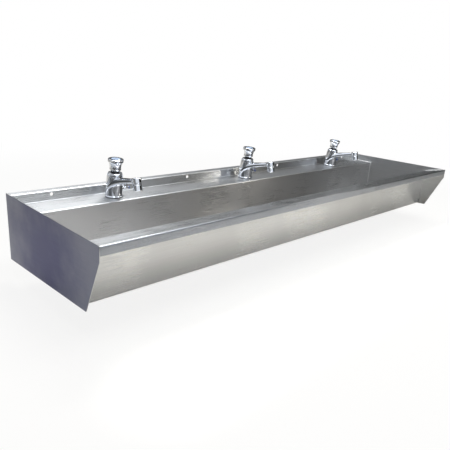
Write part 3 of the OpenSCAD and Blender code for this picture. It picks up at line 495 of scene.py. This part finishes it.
def soften(profile, radius, steps=5):
    """Rounds the corners of an open profile of (radius, height) points."""
    points = [Vector(point) for point in profile]
    made = points[:1]
    for before, corner, after in zip(points, points[1:], points[2:]):
        into, out = before - corner, after - corner
        turn = math.pi - into.angle(out)
        if turn < SLIGHT_TURN:
            made.append(corner)
            continue
        cut = min(radius * math.tan(turn / 2), SIDE_SHARE * into.length, SIDE_SHARE * out.length)
        made += round_off(corner + into.normalized() * cut, corner, corner + out.normalized() * cut, steps)
    return made + points[-1:]


def spin_profile(work, profile, steps=96):
    """Spins a profile of (radius, height) about the Z axis into a closed skin."""
    first = [work.verts.new((p[0], 0, p[1])) for p in profile]
    edges = [work.edges.new(pair) for pair in zip(first, first[1:])]
    bmesh.ops.spin(work, geom=first + edges, cent=(0, 0, 0), axis=(0, 0, 1),
                   angle=2 * math.pi, steps=steps, use_merge=True, use_duplicate=False)
    bmesh.ops.remove_doubles(work, verts=work.verts, dist=SAME_POINT)
    bmesh.ops.recalc_face_normals(work, faces=work.faces)


# %% Helpers that place a piece and draw a curve
def place_copies(label, work, place, finish_slot, body, angle=35):
    """Puts a piece made in millimetres on all three taps, in place of their solids."""
    bmesh.ops.transform(work, matrix=place, verts=work.verts)
    for side_name, x in SIDES.items():
        mesh = bpy.data.meshes.new(f"{side_name}_{label}_polished")
        work.to_mesh(mesh)
        mesh.transform(Matrix.Scale(MM, 4) @ Matrix.Translation((x, 0, 0)))
        mesh.shade_smooth()
        mesh.set_sharp_from_angle(angle=math.radians(angle))
        mesh.materials.append(finishes[finish_slot])
        piece = bpy.data.objects.new(mesh.name, mesh)
        bpy.context.scene.collection.objects.link(piece)
        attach(piece, body.format(side_name))
        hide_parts(f"{side_name}_{label}")
    print(label, "polished:", len(mesh.polygons), "faces each")
    work.free()


def bezier(p, t):
    """A curve through four control values."""
    s = 1 - t
    return s ** 3 * p[0] + 3 * s * s * t * p[1] + 3 * s * t * t * p[2] + t ** 3 * p[3]


def bezier_slope(p, t):
    """How fast that curve changes with t."""
    s = 1 - t
    return 3 * s * s * (p[1] - p[0]) + 6 * s * t * (p[2] - p[1]) + 3 * t * t * (p[3] - p[2])


# %% [markdown]
# ### Button, index and collar
#
# The push button flares from a narrow skirt to a rounded rim. Inside it are the bores for the neck,
# the spring and the stem, each written as its radius and the height that it reaches. The collar
# under it is a plain band with one groove.

# %% Spin the button
BUTTON_Z, BUTTON_H, BUTTON_R, BUTTON_BASE_R = 20.5, 35, 24, 17.5
EDGE = 0.8
BAND_H, BAND_STEP = 9, 0.5           # the plain band under the button's rim
WAIST = (0.4, -0.6, 1)               # radii past its lower edge, on the way up
WAIST_FOOT_Z, WAIST_RISE = 3, (0.35, 0.55)
FLARE_STEPS = 24
RIM_R = 2.4
STEM_BORE, SPRING_BORE, NECK_BORE = (4 + RUN_GAP, 29), (10.3, 23), (13.5, 13)
INDEX_R, INDEX_T, INDEX_PROUD = 13.5, 1.4, 0.3

band_z = BUTTON_H - BAND_H
inside = [(0, STEM_BORE[1]), STEM_BORE, (STEM_BORE[0], SPRING_BORE[1]), SPRING_BORE,
          (SPRING_BORE[0], NECK_BORE[1]), NECK_BORE, (NECK_BORE[0], 0)]
flare_r = [BUTTON_BASE_R + w for w in WAIST] + [BUTTON_R - BAND_STEP]
flare_z = [WAIST_FOOT_Z] + [BUTTON_H * share for share in WAIST_RISE] + [band_z]
flare = [(bezier(flare_r, i / FLARE_STEPS), bezier(flare_z, i / FLARE_STEPS))
         for i in range(FLARE_STEPS + 1)]
rim = [(BUTTON_R - RIM_R + RIM_R * math.cos(math.radians(a)),
        BUTTON_H - RIM_R + RIM_R * math.sin(math.radians(a))) for a in range(0, 91, 9)]
index_z = BUTTON_H - INDEX_T + INDEX_PROUD
recess = [(INDEX_R + SEAT_GAP, BUTTON_H), (INDEX_R + SEAT_GAP, index_z), (0, index_z)]
work = bmesh.new()
spin_profile(work, soften(
    inside + [(BUTTON_BASE_R - EDGE, 0), (BUTTON_BASE_R, EDGE)] + flare
    + [(BUTTON_R, band_z + BAND_STEP)] + rim + recess, radius=0.35), steps=128)
place_copies("button", work, at_head @ Matrix.Translation((0, 0, BUTTON_Z)), "chrome", "{}_push")

# %% Spin the index disc
INDEX_EDGE = 0.6

work = bmesh.new()
spin_profile(work, soften([
    (0, 0), (INDEX_R, 0), (INDEX_R, INDEX_T - INDEX_EDGE), (INDEX_R - INDEX_EDGE, INDEX_T),
    (0, INDEX_T + INDEX_PROUD)], radius=0.4))
place_copies("index", work, at_head @ Matrix.Translation((0, 0, BUTTON_Z + index_z)),
             "index_plastic", "{}_push")

# %% Spin the collar
COLLAR_R, COLLAR_H, NECK_R = 22.5, 12, 13
GROOVE_Z, GROOVE_W, GROOVE_D = 8, 0.8, 1.2

bore_r, top_r = NECK_R + SEAT_GAP, COLLAR_R - EDGE
work = bmesh.new()
spin_profile(work, soften([
    (bore_r, COLLAR_H / 2), (bore_r, 0), (top_r, 0), (COLLAR_R, EDGE), (COLLAR_R, GROOVE_Z),
    (COLLAR_R - GROOVE_D, GROOVE_Z + GROOVE_D / 2), (COLLAR_R - GROOVE_D, GROOVE_Z + GROOVE_W),
    (top_r, COLLAR_H - GROOVE_D - EDGE), (top_r, COLLAR_H - EDGE), (top_r - EDGE, COLLAR_H),
    (bore_r, COLLAR_H), (bore_r, COLLAR_H / 2)], radius=0.3), steps=128)
place_copies("collar", work, at_head, "chrome", "root")

# %% [markdown]
# ### Nozzle and mixing lever
#
# The nozzle is a ring with a groove under its top edge. The lever is a round barrel on a hub, with
# an upright pin to take hold of and a coloured cap on its end. The pin keeps the form of its solid,
# because it is so slender that its facets don't show.

# %% Spin the nozzle
NOZZLE_R, NOZZLE_L, NOZZLE_BORE_R, NOZZLE_EDGE = 14, 22, 9, 1.5
NOZZLE_SPIGOT_R, NOZZLE_SPIGOT_L = 11, 7
AERATOR_WALL, AERATOR_TOP = 1.5, 5
NOZZLE_GROOVE_Z, NOZZLE_GROOVE_W, NOZZLE_GROOVE_D = 2, 1.8, 0.8
IN_BORE_Z = 3                        # the profile starts and ends here, inside the bore

groove_r = NOZZLE_R - NOZZLE_GROOVE_D
aerator_r = NOZZLE_BORE_R + AERATOR_WALL
work = bmesh.new()
spin_profile(work, soften([
    (NOZZLE_BORE_R, IN_BORE_Z), (NOZZLE_BORE_R, NOZZLE_SPIGOT_L), (NOZZLE_SPIGOT_R, NOZZLE_SPIGOT_L),
    (NOZZLE_SPIGOT_R, 0), (NOZZLE_R, 0), (NOZZLE_R, -NOZZLE_GROOVE_Z),
    (groove_r, -NOZZLE_GROOVE_Z - NOZZLE_GROOVE_D / 2), (groove_r, -NOZZLE_GROOVE_Z - NOZZLE_GROOVE_W),
    (NOZZLE_R, -NOZZLE_GROOVE_Z - 2 * NOZZLE_GROOVE_W), (NOZZLE_R, NOZZLE_EDGE - NOZZLE_L),
    (NOZZLE_R - NOZZLE_EDGE, -NOZZLE_L), (aerator_r, -NOZZLE_L), (aerator_r, AERATOR_TOP - NOZZLE_L),
    (NOZZLE_BORE_R, AERATOR_TOP - NOZZLE_L), (NOZZLE_BORE_R, IN_BORE_Z)], radius=0.5))
place_copies("nozzle", work, at_spout_end, "chrome", "root")

# %% Spin the lever and its cap
JOURNAL_R, JOURNAL_L, HUB_R, HUB_T, BARREL_R, BARREL_L = 5, 16, 7.5, 3, 4.5, 19
CAP_R, CAP_T, CAP_EDGE = 5.2, 3, 1
CAP_SPIGOT_R, CAP_SPIGOT_L = 2, 2.5

barrel_end = HUB_T + BARREL_L
socket_r, socket_z = CAP_SPIGOT_R + SEAT_GAP, barrel_end - CAP_SPIGOT_L - SEAT_GAP
work = bmesh.new()
spin_profile(work, soften([
    (0, -JOURNAL_L), (JOURNAL_R, -JOURNAL_L), (JOURNAL_R, 0), (HUB_R, 0), (HUB_R, HUB_T - EDGE),
    (HUB_R - EDGE, HUB_T), (BARREL_R, HUB_T), (BARREL_R, barrel_end), (socket_r, barrel_end),
    (socket_r, socket_z), (0, socket_z)], radius=0.4), steps=72)
place_copies("lever", work, at_lever, "chrome", "{}_mixer")

work = bmesh.new()
spin_profile(work, soften([
    (0, -CAP_SPIGOT_L), (CAP_SPIGOT_R, -CAP_SPIGOT_L), (CAP_SPIGOT_R, 0), (CAP_R, 0),
    (CAP_R, CAP_T - CAP_EDGE), (CAP_R - CAP_EDGE, CAP_T), (0, CAP_T)], radius=0.5), steps=72)
place_copies("lever_cap", work, at_lever @ Matrix.Translation((0, 0, barrel_end)),
             "cap_plastic", "{}_mixer")

# %% [markdown]
# ## The tap body
#
# The body is one chromed casting, and everything in it flows: the foot draws in to a column, the
# column leans forward under the head, and the spout grows out of both sides of it and ends in a
# tilted round. The column and the spout are skins over rings, the lever's boss and the round end are
# spun. A fine voxel remesh melts all four into one surface, a few passes of smoothing give the
# meeting lines the radius that a grinder leaves, and the seats and sockets are cut last, so they
# stay crisp.

# %% Helpers for the rings
RING_POINTS = 128


def ring(y, z, e, a, b):
    """An ellipse square to a path at elevation e, y in front of the foot's middle and z above it."""
    e = math.radians(e)
    return [(a * math.cos(t), -y + b * math.sin(t) * math.sin(e), z + b * math.sin(t) * math.cos(e))
            for t in (2 * math.pi * i / RING_POINTS for i in range(RING_POINTS))]


def flank_ring(y, z, e, a, up, down, square):
    """A ring of the spout: flanks that rise by up from an edge, and an underside that bulges by down."""
    made = []
    for i in range(RING_POINTS):
        t = 2 * math.pi * i / RING_POINTS
        c, s = math.cos(t), math.sin(t)
        b = up * s ** square if s > 0 else down * s
        made.append((a * math.copysign(abs(c) ** square, c), -y + b * math.sin(e), z + b * math.cos(e)))
    return made


def loft(work, rings):
    """Adds a closed skin over rings of points that follow each other."""
    loops = []
    for points in rings:
        corners = [work.verts.new(point) for point in points]
        loops.append([work.edges.new(pair) for pair in zip(corners, corners[1:] + corners[:1])])
    bmesh.ops.bridge_loops(work, edges=[edge for loop in loops for edge in loop])
    for end in (loops[0], loops[-1]):
        bmesh.ops.contextual_create(work, geom=end)


# %% Helpers for the casting
def turned(work, profile, place, steps=96):
    """Adds a piece of a spun profile at a place."""
    part = bmesh.new()
    spin_profile(part, profile, steps)
    bmesh.ops.transform(part, matrix=place, verts=part.verts)
    mesh = bpy.data.meshes.new("turned")
    part.to_mesh(mesh)
    part.free()
    work.from_mesh(mesh)
    bpy.data.meshes.remove(mesh)


def helper_object(name, work):
    """A short-lived object for a modifier to work on."""
    mesh = bpy.data.meshes.new(name)
    bmesh.ops.recalc_face_normals(work, faces=work.faces)
    work.to_mesh(mesh)
    work.free()
    made = bpy.data.objects.new(name, mesh)
    bpy.context.scene.collection.objects.link(made)
    return made


def settled(one):
    """The mesh of an object with its modifiers applied; the object itself is removed."""
    shaped = one.evaluated_get(bpy.context.evaluated_depsgraph_get())
    mesh = bpy.data.meshes.new_from_object(shaped)
    bpy.data.objects.remove(one)
    return mesh


# %% Draw the rings of the column
FOOT_R, FOOT_EDGE, FOOT_BAND = 28.5, 0.6, 3
COLUMN_W, COLUMN_BACK, COLUMN_DEPTH = 25, 1.5, 26.4
COLUMN_RISE, COLUMN_SHIFT = (0.35, 0.7), 0.35   # shares of the head's height and offset on the way up
COLUMN_STEPS = 32
HEAD_R, HEAD_BACK = 24.8, 8.4                   # the wall round the collar stands higher at the back

column = [ring(0, 0, 90, FOOT_R - FOOT_EDGE, FOOT_R - FOOT_EDGE),
          ring(0, FOOT_EDGE, 90, FOOT_R, FOOT_R), ring(0, FOOT_BAND, 90, FOOT_R, FOOT_R)]
lean = math.degrees(LEAN)
for i in range(COLUMN_STEPS + 1):
    t = i / COLUMN_STEPS
    column.append(ring(
        bezier((-COLUMN_BACK, -COLUMN_BACK, HEAD_Y * COLUMN_SHIFT, HEAD_Y), t),
        bezier((FOOT_BAND + 1, *(HEAD_Z * share for share in COLUMN_RISE), HEAD_Z), t),
        bezier((90, 90, 90 - lean, 90 - lean), t),
        bezier((COLUMN_W, COLUMN_W, COLUMN_W, HEAD_R), t),
        bezier((COLUMN_DEPTH, COLUMN_DEPTH, COLUMN_DEPTH, HEAD_R), t)))
column.append(ring(HEAD_Y + HEAD_BACK * math.sin(LEAN), HEAD_Z + HEAD_BACK * math.cos(LEAN),
                   90 - lean, HEAD_R - FOOT_EDGE, HEAD_R - FOOT_EDGE))
print("column:", len(column), "rings")

# %% Draw the rings of the spout
SPOUT_ROOT, SPOUT_LIFT, SPOUT_RUN = 4, 0.7, 0.6
SPOUT_EDGE_DROP = 5                             # from the middle of the round end to the soft edge
# Along the spout: half its width, how square its flanks are, and how far they rise and bulge down
SPOUT_HALF_W, SPOUT_SQUARE = (27.9, 31, 14, 12.5), (1, 1, 0.8, 0.75)
SPOUT_UP, SPOUT_DOWN = (22, 25, 13, 10), (2, 2, 5, 3)
SPOUT_STEPS = 48

end_z = SPOUT_Z - SPOUT_END_H / 2 - SPOUT_EDGE_DROP
run = SPOUT_RUN * REACH
path_y = (-SPOUT_ROOT, -SPOUT_ROOT, REACH - run * math.cos(SPOUT_RISE), REACH)
path_z = (FOOT_EDGE, HEAD_Z * SPOUT_LIFT, end_z - run * math.sin(SPOUT_RISE), end_z)
spout = []
for i in range(SPOUT_STEPS + 1):
    t = i / SPOUT_STEPS
    spout.append(flank_ring(
        bezier(path_y, t), bezier(path_z, t),
        math.atan2(bezier_slope(path_z, t), bezier_slope(path_y, t)),
        *(bezier(four, t) for four in (SPOUT_HALF_W, SPOUT_UP, SPOUT_DOWN, SPOUT_SQUARE))))
print("spout:", len(spout), "rings")

# %% Put the forms of the casting together
SPOUT_R, SHOULDER, SHOULDER_EDGE, CROWN = 14.5, 3, 1, 0.6
BOSS_R = 9

work = bmesh.new()
loft(work, column)
loft(work, spout)
at_boss = Matrix.Translation((0, 0, LEVER_Z)) @ sideways
turned(work, [(0, 0), (BOSS_R, 0), (BOSS_R, BOSS_X), (0, BOSS_X)], at_boss)
at_end = at_foot.inverted() @ at_spout_end
turned(work, soften([
    (0, 0), (SPOUT_R, 0), (SPOUT_R, SPOUT_END_H - SHOULDER),
    (SPOUT_R - SHOULDER_EDGE, SPOUT_END_H - SHOULDER_EDGE), (SPOUT_R - SHOULDER, SPOUT_END_H),
    (0, SPOUT_END_H + CROWN)], radius=1.5), at_end)
print("column, spout, boss and round end:", len(work.faces), "faces")

# %% Melt the forms into one skin and smooth it
VOXEL = 0.75
SMOOTH_PASSES = 8

bmesh.ops.triangulate(work, faces=work.faces)
casting = helper_object("casting", work)
melt = casting.modifiers.new("melt", "REMESH")
melt.mode = "VOXEL"
melt.voxel_size = VOXEL
melted = settled(casting)
work = bmesh.new()
work.from_mesh(melted)
for _ in range(SMOOTH_PASSES):
    bmesh.ops.smooth_vert(work, verts=work.verts, factor=0.5,
                          use_axis_x=True, use_axis_y=True, use_axis_z=True)
print("melted casting:", len(work.faces), "faces")
casting = helper_object("casting", work)

# %% Cut the seats and the sockets
WALL_CUT_R = HEAD_R + 1               # past the head's wall on every side
CARTRIDGE_R, CARTRIDGE_L = 15, 30
SHANK_SPIGOT_R, SHANK_SPIGOT_L = 13, 9
OVER, FAR_OVER = 2, 15                # how far a cut runs out of a flat end, and out of the boss

head = at_foot.inverted() @ at_head
slant = Matrix.Rotation(math.atan2(HEAD_BACK, 2 * HEAD_R), 4, "X")
cuts = {    # radius, start and end along the cut's axis, and its place
    "slanted top of the wall": (
        WALL_CUT_R, 0, COLLAR_H, head @ Matrix.Translation((0, 0, HEAD_BACK / 2)) @ slant),
    "seat of the collar": (COLLAR_R + PASS_GAP, 0, 2 * COLLAR_H, head),
    "socket of the cartridge": (CARTRIDGE_R + SEAT_GAP, -CARTRIDGE_L - SEAT_GAP, COLLAR_H, head),
    "bore of the lever": (
        JOURNAL_R + RUN_GAP, BOSS_X - PASS_GAP - JOURNAL_L, BOSS_X + FAR_OVER, at_boss),
    "socket of the shank": (
        SHANK_SPIGOT_R + SEAT_GAP, -OVER, SHANK_SPIGOT_L + SEAT_GAP, Matrix.Identity(4)),
    "socket of the nozzle": (NOZZLE_SPIGOT_R + SEAT_GAP, -OVER, NOZZLE_SPIGOT_L + SEAT_GAP, at_end),
}
cutters = []
for label, (radius, starts, ends, place) in cuts.items():
    work = bmesh.new()
    turned(work, [(0, starts), (radius, starts), (radius, ends), (0, ends)], place)
    cutter = helper_object(label, work)
    cut = casting.modifiers.new(label, "BOOLEAN")
    cut.operation = "DIFFERENCE"
    cut.solver = "MANIFOLD"
    cut.object = cutter
    cutters.append(cutter)
body_mesh = settled(casting)
for cutter in cutters:
    bpy.data.objects.remove(cutter)
work = bmesh.new()
work.from_mesh(body_mesh)
print("tap body:", len(work.faces), "faces after", len(cuts), "cuts")
place_copies("tap_body", work, at_foot, "chrome", "root", angle=50)

# %% [markdown]
# ## Folded sheets and trade parts
#
# The other solids keep their form and only need clean shading. A copy of each is merged at its
# seams, its corners stay sharp where faces meet at more than 32 degrees, and elsewhere the shading
# runs on, weighted by area, so that flat faces stay flat and each pressed bend draws the thin
# bright line that a bend shows in the photograph. The three springs stay as they are, because they
# are squeezed when a button goes down, and no copy would follow that.

# %% Clean shading for every solid that has no new piece yet
SEAM_WIDTH = 1e-6        # metres: corners closer than this are one
SHARP_OVER = 32          # degrees
AREA_WEIGHT = 80

bodies = frame["record"]["behaviour"]["bodies"]
body_of_node = {node: body for body, parts in bodies.items() for node in parts}
finished = {f"{side_name}_{label}" for side_name in SIDES for label in (
    "tap_body", "button", "index", "collar", "nozzle", "lever", "lever_cap", "spring")}


def resurface(name):
    """A copy of a solid with its seams merged and shading that runs over its bends."""
    work = bmesh.new()
    work.from_mesh(nodes[name].data)
    bmesh.ops.remove_doubles(work, verts=work.verts, dist=SEAM_WIDTH)
    mesh = bpy.data.meshes.new(f"{name}_clean")
    work.to_mesh(mesh)
    work.free()
    mesh.shade_smooth()
    mesh.set_sharp_from_angle(angle=math.radians(SHARP_OVER))
    piece = bpy.data.objects.new(mesh.name, mesh)
    bpy.context.scene.collection.objects.link(piece)
    even = piece.modifiers.new("even shading", "WEIGHTED_NORMAL")
    even.keep_sharp = True
    even.weight = AREA_WEIGHT
    mesh.materials.clear()
    mesh.materials.append(finishes[slot_of[name]])
    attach(piece, body_of_node[name])
    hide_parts(name)
    return piece


clean = [resurface(name) for name in nodes if name not in finished]
print(len(clean), "solids with clean shading,", sum(len(p.data.polygons) for p in clean), "faces")

# %% [markdown]
# ## Welds
#
# The end panels are welded to the folded sheets along the whole inner profile. The bead is dressed
# but not ground away: a narrow rounded line with the faint steps of its ripples. Its colour is
# painted paler than the sheet, a painted highlight that makes it a light seam inside the far end.

# %% Make the bead's finish
BEAD_MARKS = 1 / 420     # dull and bright spots, one to each ripple or so
BEAD_SHINE, BEAD_DULL = 0.35, 0.6

bead_finish, tree, shader, place = new_finish("dressed weld bead")
marks = add_node(tree, "TexNoise", {"Vector": place, "Scale": 1 / BEAD_MARKS, "Detail": 2.0})
rough = add_node(tree, "MapRange", {
    "Value": marks.outputs["Fac"], "To Min": BEAD_SHINE, "To Max": BEAD_DULL})
shader.inputs["Metallic"].default_value = 1.0
# The pale colour is a painted highlight along the seam
shader.inputs["Base Color"].default_value = linear("#f2f2f0")
tree.links.new(rough.outputs[0], shader.inputs["Roughness"])
print(bead_finish.name, "with", len(tree.nodes), "shader nodes")


# %% Helpers for the seam's path
def rounded_path(corners, bends, steps=8):
    """Points along a path of (y, z) corners with a curve at each inner corner."""
    points = [Vector(corner) for corner in corners]
    made = points[:1]
    for before, corner, after, bend in zip(points, points[1:], points[2:], bends):
        start = corner + (before - corner).normalized() * bend
        made += round_off(start, corner, corner + (after - corner).normalized() * bend, steps)
    return made + points[-1:]


def evenly(points, step):
    """Points about a step apart along a path."""
    made, left = [points[0]], 0.0
    for a, b in zip(points, points[1:]):
        length = (b - a).length
        at = step - left
        while at < length:
            made.append(a + (b - a) * at / length)
            at += step
        left = length - (at - step)
    made.append(points[-1])
    return made


# %% Lay the weld beads
SHEET_T, PANEL_T = 1.5, 1.5
BEAD_R, BEAD_POINTS = 1.3, 10
RIPPLE, RIPPLE_STEPS, RIPPLE_SWELL = 2.2, 4, 0.06    # length, rings to each, and share of the radius
back_y, front_y = BACK_WALL_Y / MM, FRONT_WALL_Y / MM + SHEET_T
# The inner profile's corners from the wall to the lip, as millimetres along Y and Z, and its bends
SEAM_PATH = [(-2, 100), (-29, 100), (-29, 70), (back_y, 70), (back_y, -91.2), (front_y, -79.2),
             (front_y, 80), (-512, 99.2)]
SEAM_BEND = [2.5, 2.5, 4, 6, 6, 4]


def weld_bead(name, x):
    """A round bead with ripples, half sunk in the corner between an end panel and the sheets."""
    path = evenly(rounded_path(SEAM_PATH, SEAM_BEND), RIPPLE / RIPPLE_STEPS)
    angles = [2 * math.pi * i / BEAD_POINTS for i in range(BEAD_POINTS)]
    rings = []
    for k, point in enumerate(path):
        ahead = path[min(k + 1, len(path) - 1)] - path[max(k - 1, 0)]
        out = Vector((ahead.y, -ahead.x)).normalized()
        radius = BEAD_R * (1 + RIPPLE_SWELL * math.cos(2 * math.pi * k / RIPPLE_STEPS))
        rings.append([(x + radius * math.cos(a), *(point + out * radius * math.sin(a))) for a in angles])
    work = bmesh.new()
    loft(work, rings)
    bmesh.ops.recalc_face_normals(work, faces=work.faces)
    bmesh.ops.scale(work, vec=(MM, MM, MM), verts=work.verts)
    mesh = bpy.data.meshes.new(name)
    work.to_mesh(mesh)
    work.free()
    mesh.shade_smooth()
    mesh.materials.append(bead_finish)
    piece = bpy.data.objects.new(name, mesh)
    bpy.context.scene.collection.objects.link(piece)
    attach(piece, "root")
    return piece


inner_x = round(HALF_LENGTH / MM) - PANEL_T
beads = [weld_bead(f"{name}_weld", side * inner_x) for name, side in (("left", -1), ("right", 1))]
print("weld beads:", [len(b.data.polygons) for b in beads], "faces")

# %% [markdown]
# ## The floor
#
# The trough hangs free, and a pale, faintly warm floor lies just under its waste outlet. To the
# camera the floor is mostly plain white near the trough and nothing else further out, so that it
# keeps the trough's shadow and shows no edge. A plane is enough, because only its shading differs.

# %% Lay the floor
FLOOR_GAP = 0.004
FLOOR_SIZE = 120.0
GLOW_NEAR, GLOW_FAR = 0.86, 1.0     # share of plain white that the camera sees in it
FADE_MIDDLE = (0, -0.3, cad_box[0].z)
FADE_STARTS, FADE_ENDS = 1.1, 2.6   # metres from the middle of the trough

floor_z = cad_box[0].z - FLOOR_GAP
floor_mesh = bpy.data.meshes.new("floor")
work = bmesh.new()
bmesh.ops.create_grid(work, x_segments=1, y_segments=1, size=FLOOR_SIZE / 2)
bmesh.ops.translate(work, verts=work.verts, vec=(0, 0, floor_z))
work.to_mesh(floor_mesh)
work.free()
floor = bpy.data.objects.new("floor", floor_mesh)
bpy.context.scene.collection.objects.link(floor)
finish, tree, shader, place = new_finish("pale floor")
shader.inputs["Base Color"].default_value = linear("#f5f1e8")
shader.inputs["Roughness"].default_value = 0.9
glow = add_node(tree, "Emission", {"Color": (1, 1, 1, 1), "Strength": 1.0})
apart = add_node(tree, "VectorMath", {0: place, 1: FADE_MIDDLE}, operation="DISTANCE")
fade = add_node(tree, "MapRange", {
    "Value": apart.outputs["Value"], "From Min": FADE_STARTS, "From Max": FADE_ENDS,
    "To Min": GLOW_NEAR, "To Max": GLOW_FAR}, interpolation_type="SMOOTHSTEP")
seen = add_node(tree, "LightPath").outputs["Is Camera Ray"]
share = add_node(tree, "Math", {0: seen, 1: fade.outputs[0]}, operation="MULTIPLY")
pale = add_node(tree, "MixShader", {0: share.outputs[0], 1: shader.outputs[0], 2: glow.outputs[0]})
tree.links.new(pale.outputs[0], tree.nodes["Material Output"].inputs["Surface"])
floor_mesh.materials.append(finish)
print("floor at", round(floor_z, 4))

# %% [markdown]
# ## The room that the steel mirrors
#
# Behind the floor the world is white for the camera. Steel and chrome show little but what they
# mirror, and mirrored white all round they would look like grey paint. So they meet a plain studio
# instead: a bright ceiling, walls that are far dimmer, one pale wall in front and a little to the
# left, and a dim, warm end to the right, where the photograph's trough grows dark.

# %% Build the room
DIM_SIDE = math.radians(-28)        # the dim end: right of the trough, a little in front
DIM_NEAR, DIM_FAR = math.cos(math.radians(22)), math.cos(math.radians(46))
DIM_LEVEL = 0.16                    # what it leaves of the room's brightness
PALE_SIDE = math.radians(-112)      # the pale wall
PALE_NEAR, PALE_FAR = math.cos(math.radians(36)), math.cos(math.radians(46))
PALE_LEVEL = 0.95
WALL_LEVEL, CEILING_LEVEL = 0.08, 1.15
WALL_ENDS, CEILING_STARTS = 0.27, 0.70      # as the height of a direction, 0 level and 1 straight up
WORLD_LIGHT = 0.25                  # what the world gives dull surfaces
WARM, COOL = (1, 0.95, 0.86, 1), (0.93, 0.965, 1, 1)

world = bpy.data.worlds.new("studio")
bpy.context.scene.world = world
world.use_nodes = True
sky = world.node_tree
toward = add_node(sky, "TexCoord").outputs["Generated"]
flat = add_node(sky, "VectorMath", {0: toward, 1: (1, 1, 0)}, operation="MULTIPLY")
level_way = add_node(sky, "VectorMath", {0: flat.outputs[0]}, operation="NORMALIZE")
sides = []
for side, near, far, at_far, at_near in (
        (DIM_SIDE, DIM_NEAR, DIM_FAR, 1.0, DIM_LEVEL),
        (PALE_SIDE, PALE_NEAR, PALE_FAR, WALL_LEVEL, PALE_LEVEL)):
    turned_to = add_node(sky, "VectorMath", {
        0: level_way.outputs[0], 1: (math.cos(side), math.sin(side), 0)}, operation="DOT_PRODUCT")
    sides.append(add_node(sky, "MapRange", {
        "Value": turned_to.outputs["Value"], "From Min": far, "From Max": near,
        "To Min": at_far, "To Max": at_near}, interpolation_type="SMOOTHSTEP").outputs[0])
dimmed, wall = sides
height = add_node(sky, "MapRange", {
    "Value": add_node(sky, "SeparateXYZ", {0: toward}).outputs["Z"],
    "From Min": WALL_ENDS, "From Max": CEILING_STARTS, "To Min": wall, "To Max": CEILING_LEVEL},
    interpolation_type="SMOOTHSTEP")
room = add_node(sky, "Math", {0: height.outputs[0], 1: dimmed}, operation="MULTIPLY")
rays = add_node(sky, "LightPath").outputs
mirrored = add_node(sky, "Math", {
    0: rays["Is Glossy Ray"], 1: rays["Is Transmission Ray"]}, operation="MAXIMUM")
lit = add_node(sky, "Mix", {
    "Factor": mirrored.outputs[0], "A": WORLD_LIGHT, "B": room.outputs[0]}, data_type="FLOAT")
level = add_node(sky, "Mix", {
    "Factor": rays["Is Camera Ray"], "A": lit.outputs["Result"], "B": 1.0}, data_type="FLOAT")
cast = add_node(sky, "Mix", {"Factor": dimmed, "A": WARM, "B": COOL}, data_type="RGBA")
tint = add_node(sky, "Mix", {
    "Factor": rays["Is Camera Ray"], "A": cast.outputs["Result"], "B": (1, 1, 1, 1)}, data_type="RGBA")
sky.links.new(level.outputs["Result"], sky.nodes["Background"].inputs["Strength"])
sky.links.new(tint.outputs["Result"], sky.nodes["Background"].inputs["Color"])
print("room:", len(sky.nodes), "shader nodes")

# %% [markdown]
# ## The lamps
#
# Four lamps do one thing each. The front lamp is broad, cool and high, and lights the whole trough.
# The strip lamp lays a narrow pool of light on the floor just before the lip, which the lip and
# the foot of the front wall mirror. The back lamp draws the highlight along the rim and the ledge,
# and the side lamp the warm patch beside the centre tap.

# %% Hang the lamps
def soft_lamp(name, place, target, width, depth, power, tint=(1, 1, 1), spread=180):
    """A rectangular area lamp that looks at a point, and how wide its light fans out."""
    data = bpy.data.lights.new(name, "AREA")
    data.shape = "RECTANGLE"
    data.size = width
    data.size_y = depth
    data.energy = power
    data.color = tint
    data.spread = math.radians(spread)
    lamp = bpy.data.objects.new(name, data)
    bpy.context.scene.collection.objects.link(lamp)
    lamp.rotation_mode = "QUATERNION"
    lamp.location = place
    lamp.rotation_quaternion = (Vector(target) - Vector(place)).to_track_quat("-Z", "Y")
    return lamp


lamps = [
    soft_lamp("front_lamp", (-0.1, -1.0, 2.0), (-0.1, -0.4, 0.0), 2.5, 0.8, power=19,
              tint=(0.93, 0.96, 1.0), spread=130),
    soft_lamp("strip_lamp", (0.0, -0.70, 1.9), (0.0, -0.70, 0.0), 1.8, 0.12, power=4.3,
              tint=(1.0, 0.975, 0.94), spread=8),
    soft_lamp("back_lamp", (0.45, 0.9, 2.9), (-0.1, -0.6, -0.1), 1.7, 0.4, power=54),
    soft_lamp("side_lamp", (1.16, -1.21, 0.66), (-0.05, -0.133, 0.0), 0.07, 0.5, power=2.3,
              tint=(1.0, 0.96, 0.87)),
]
print("lamps:", {lamp.name: round(lamp.data.energy, 1) for lamp in lamps})
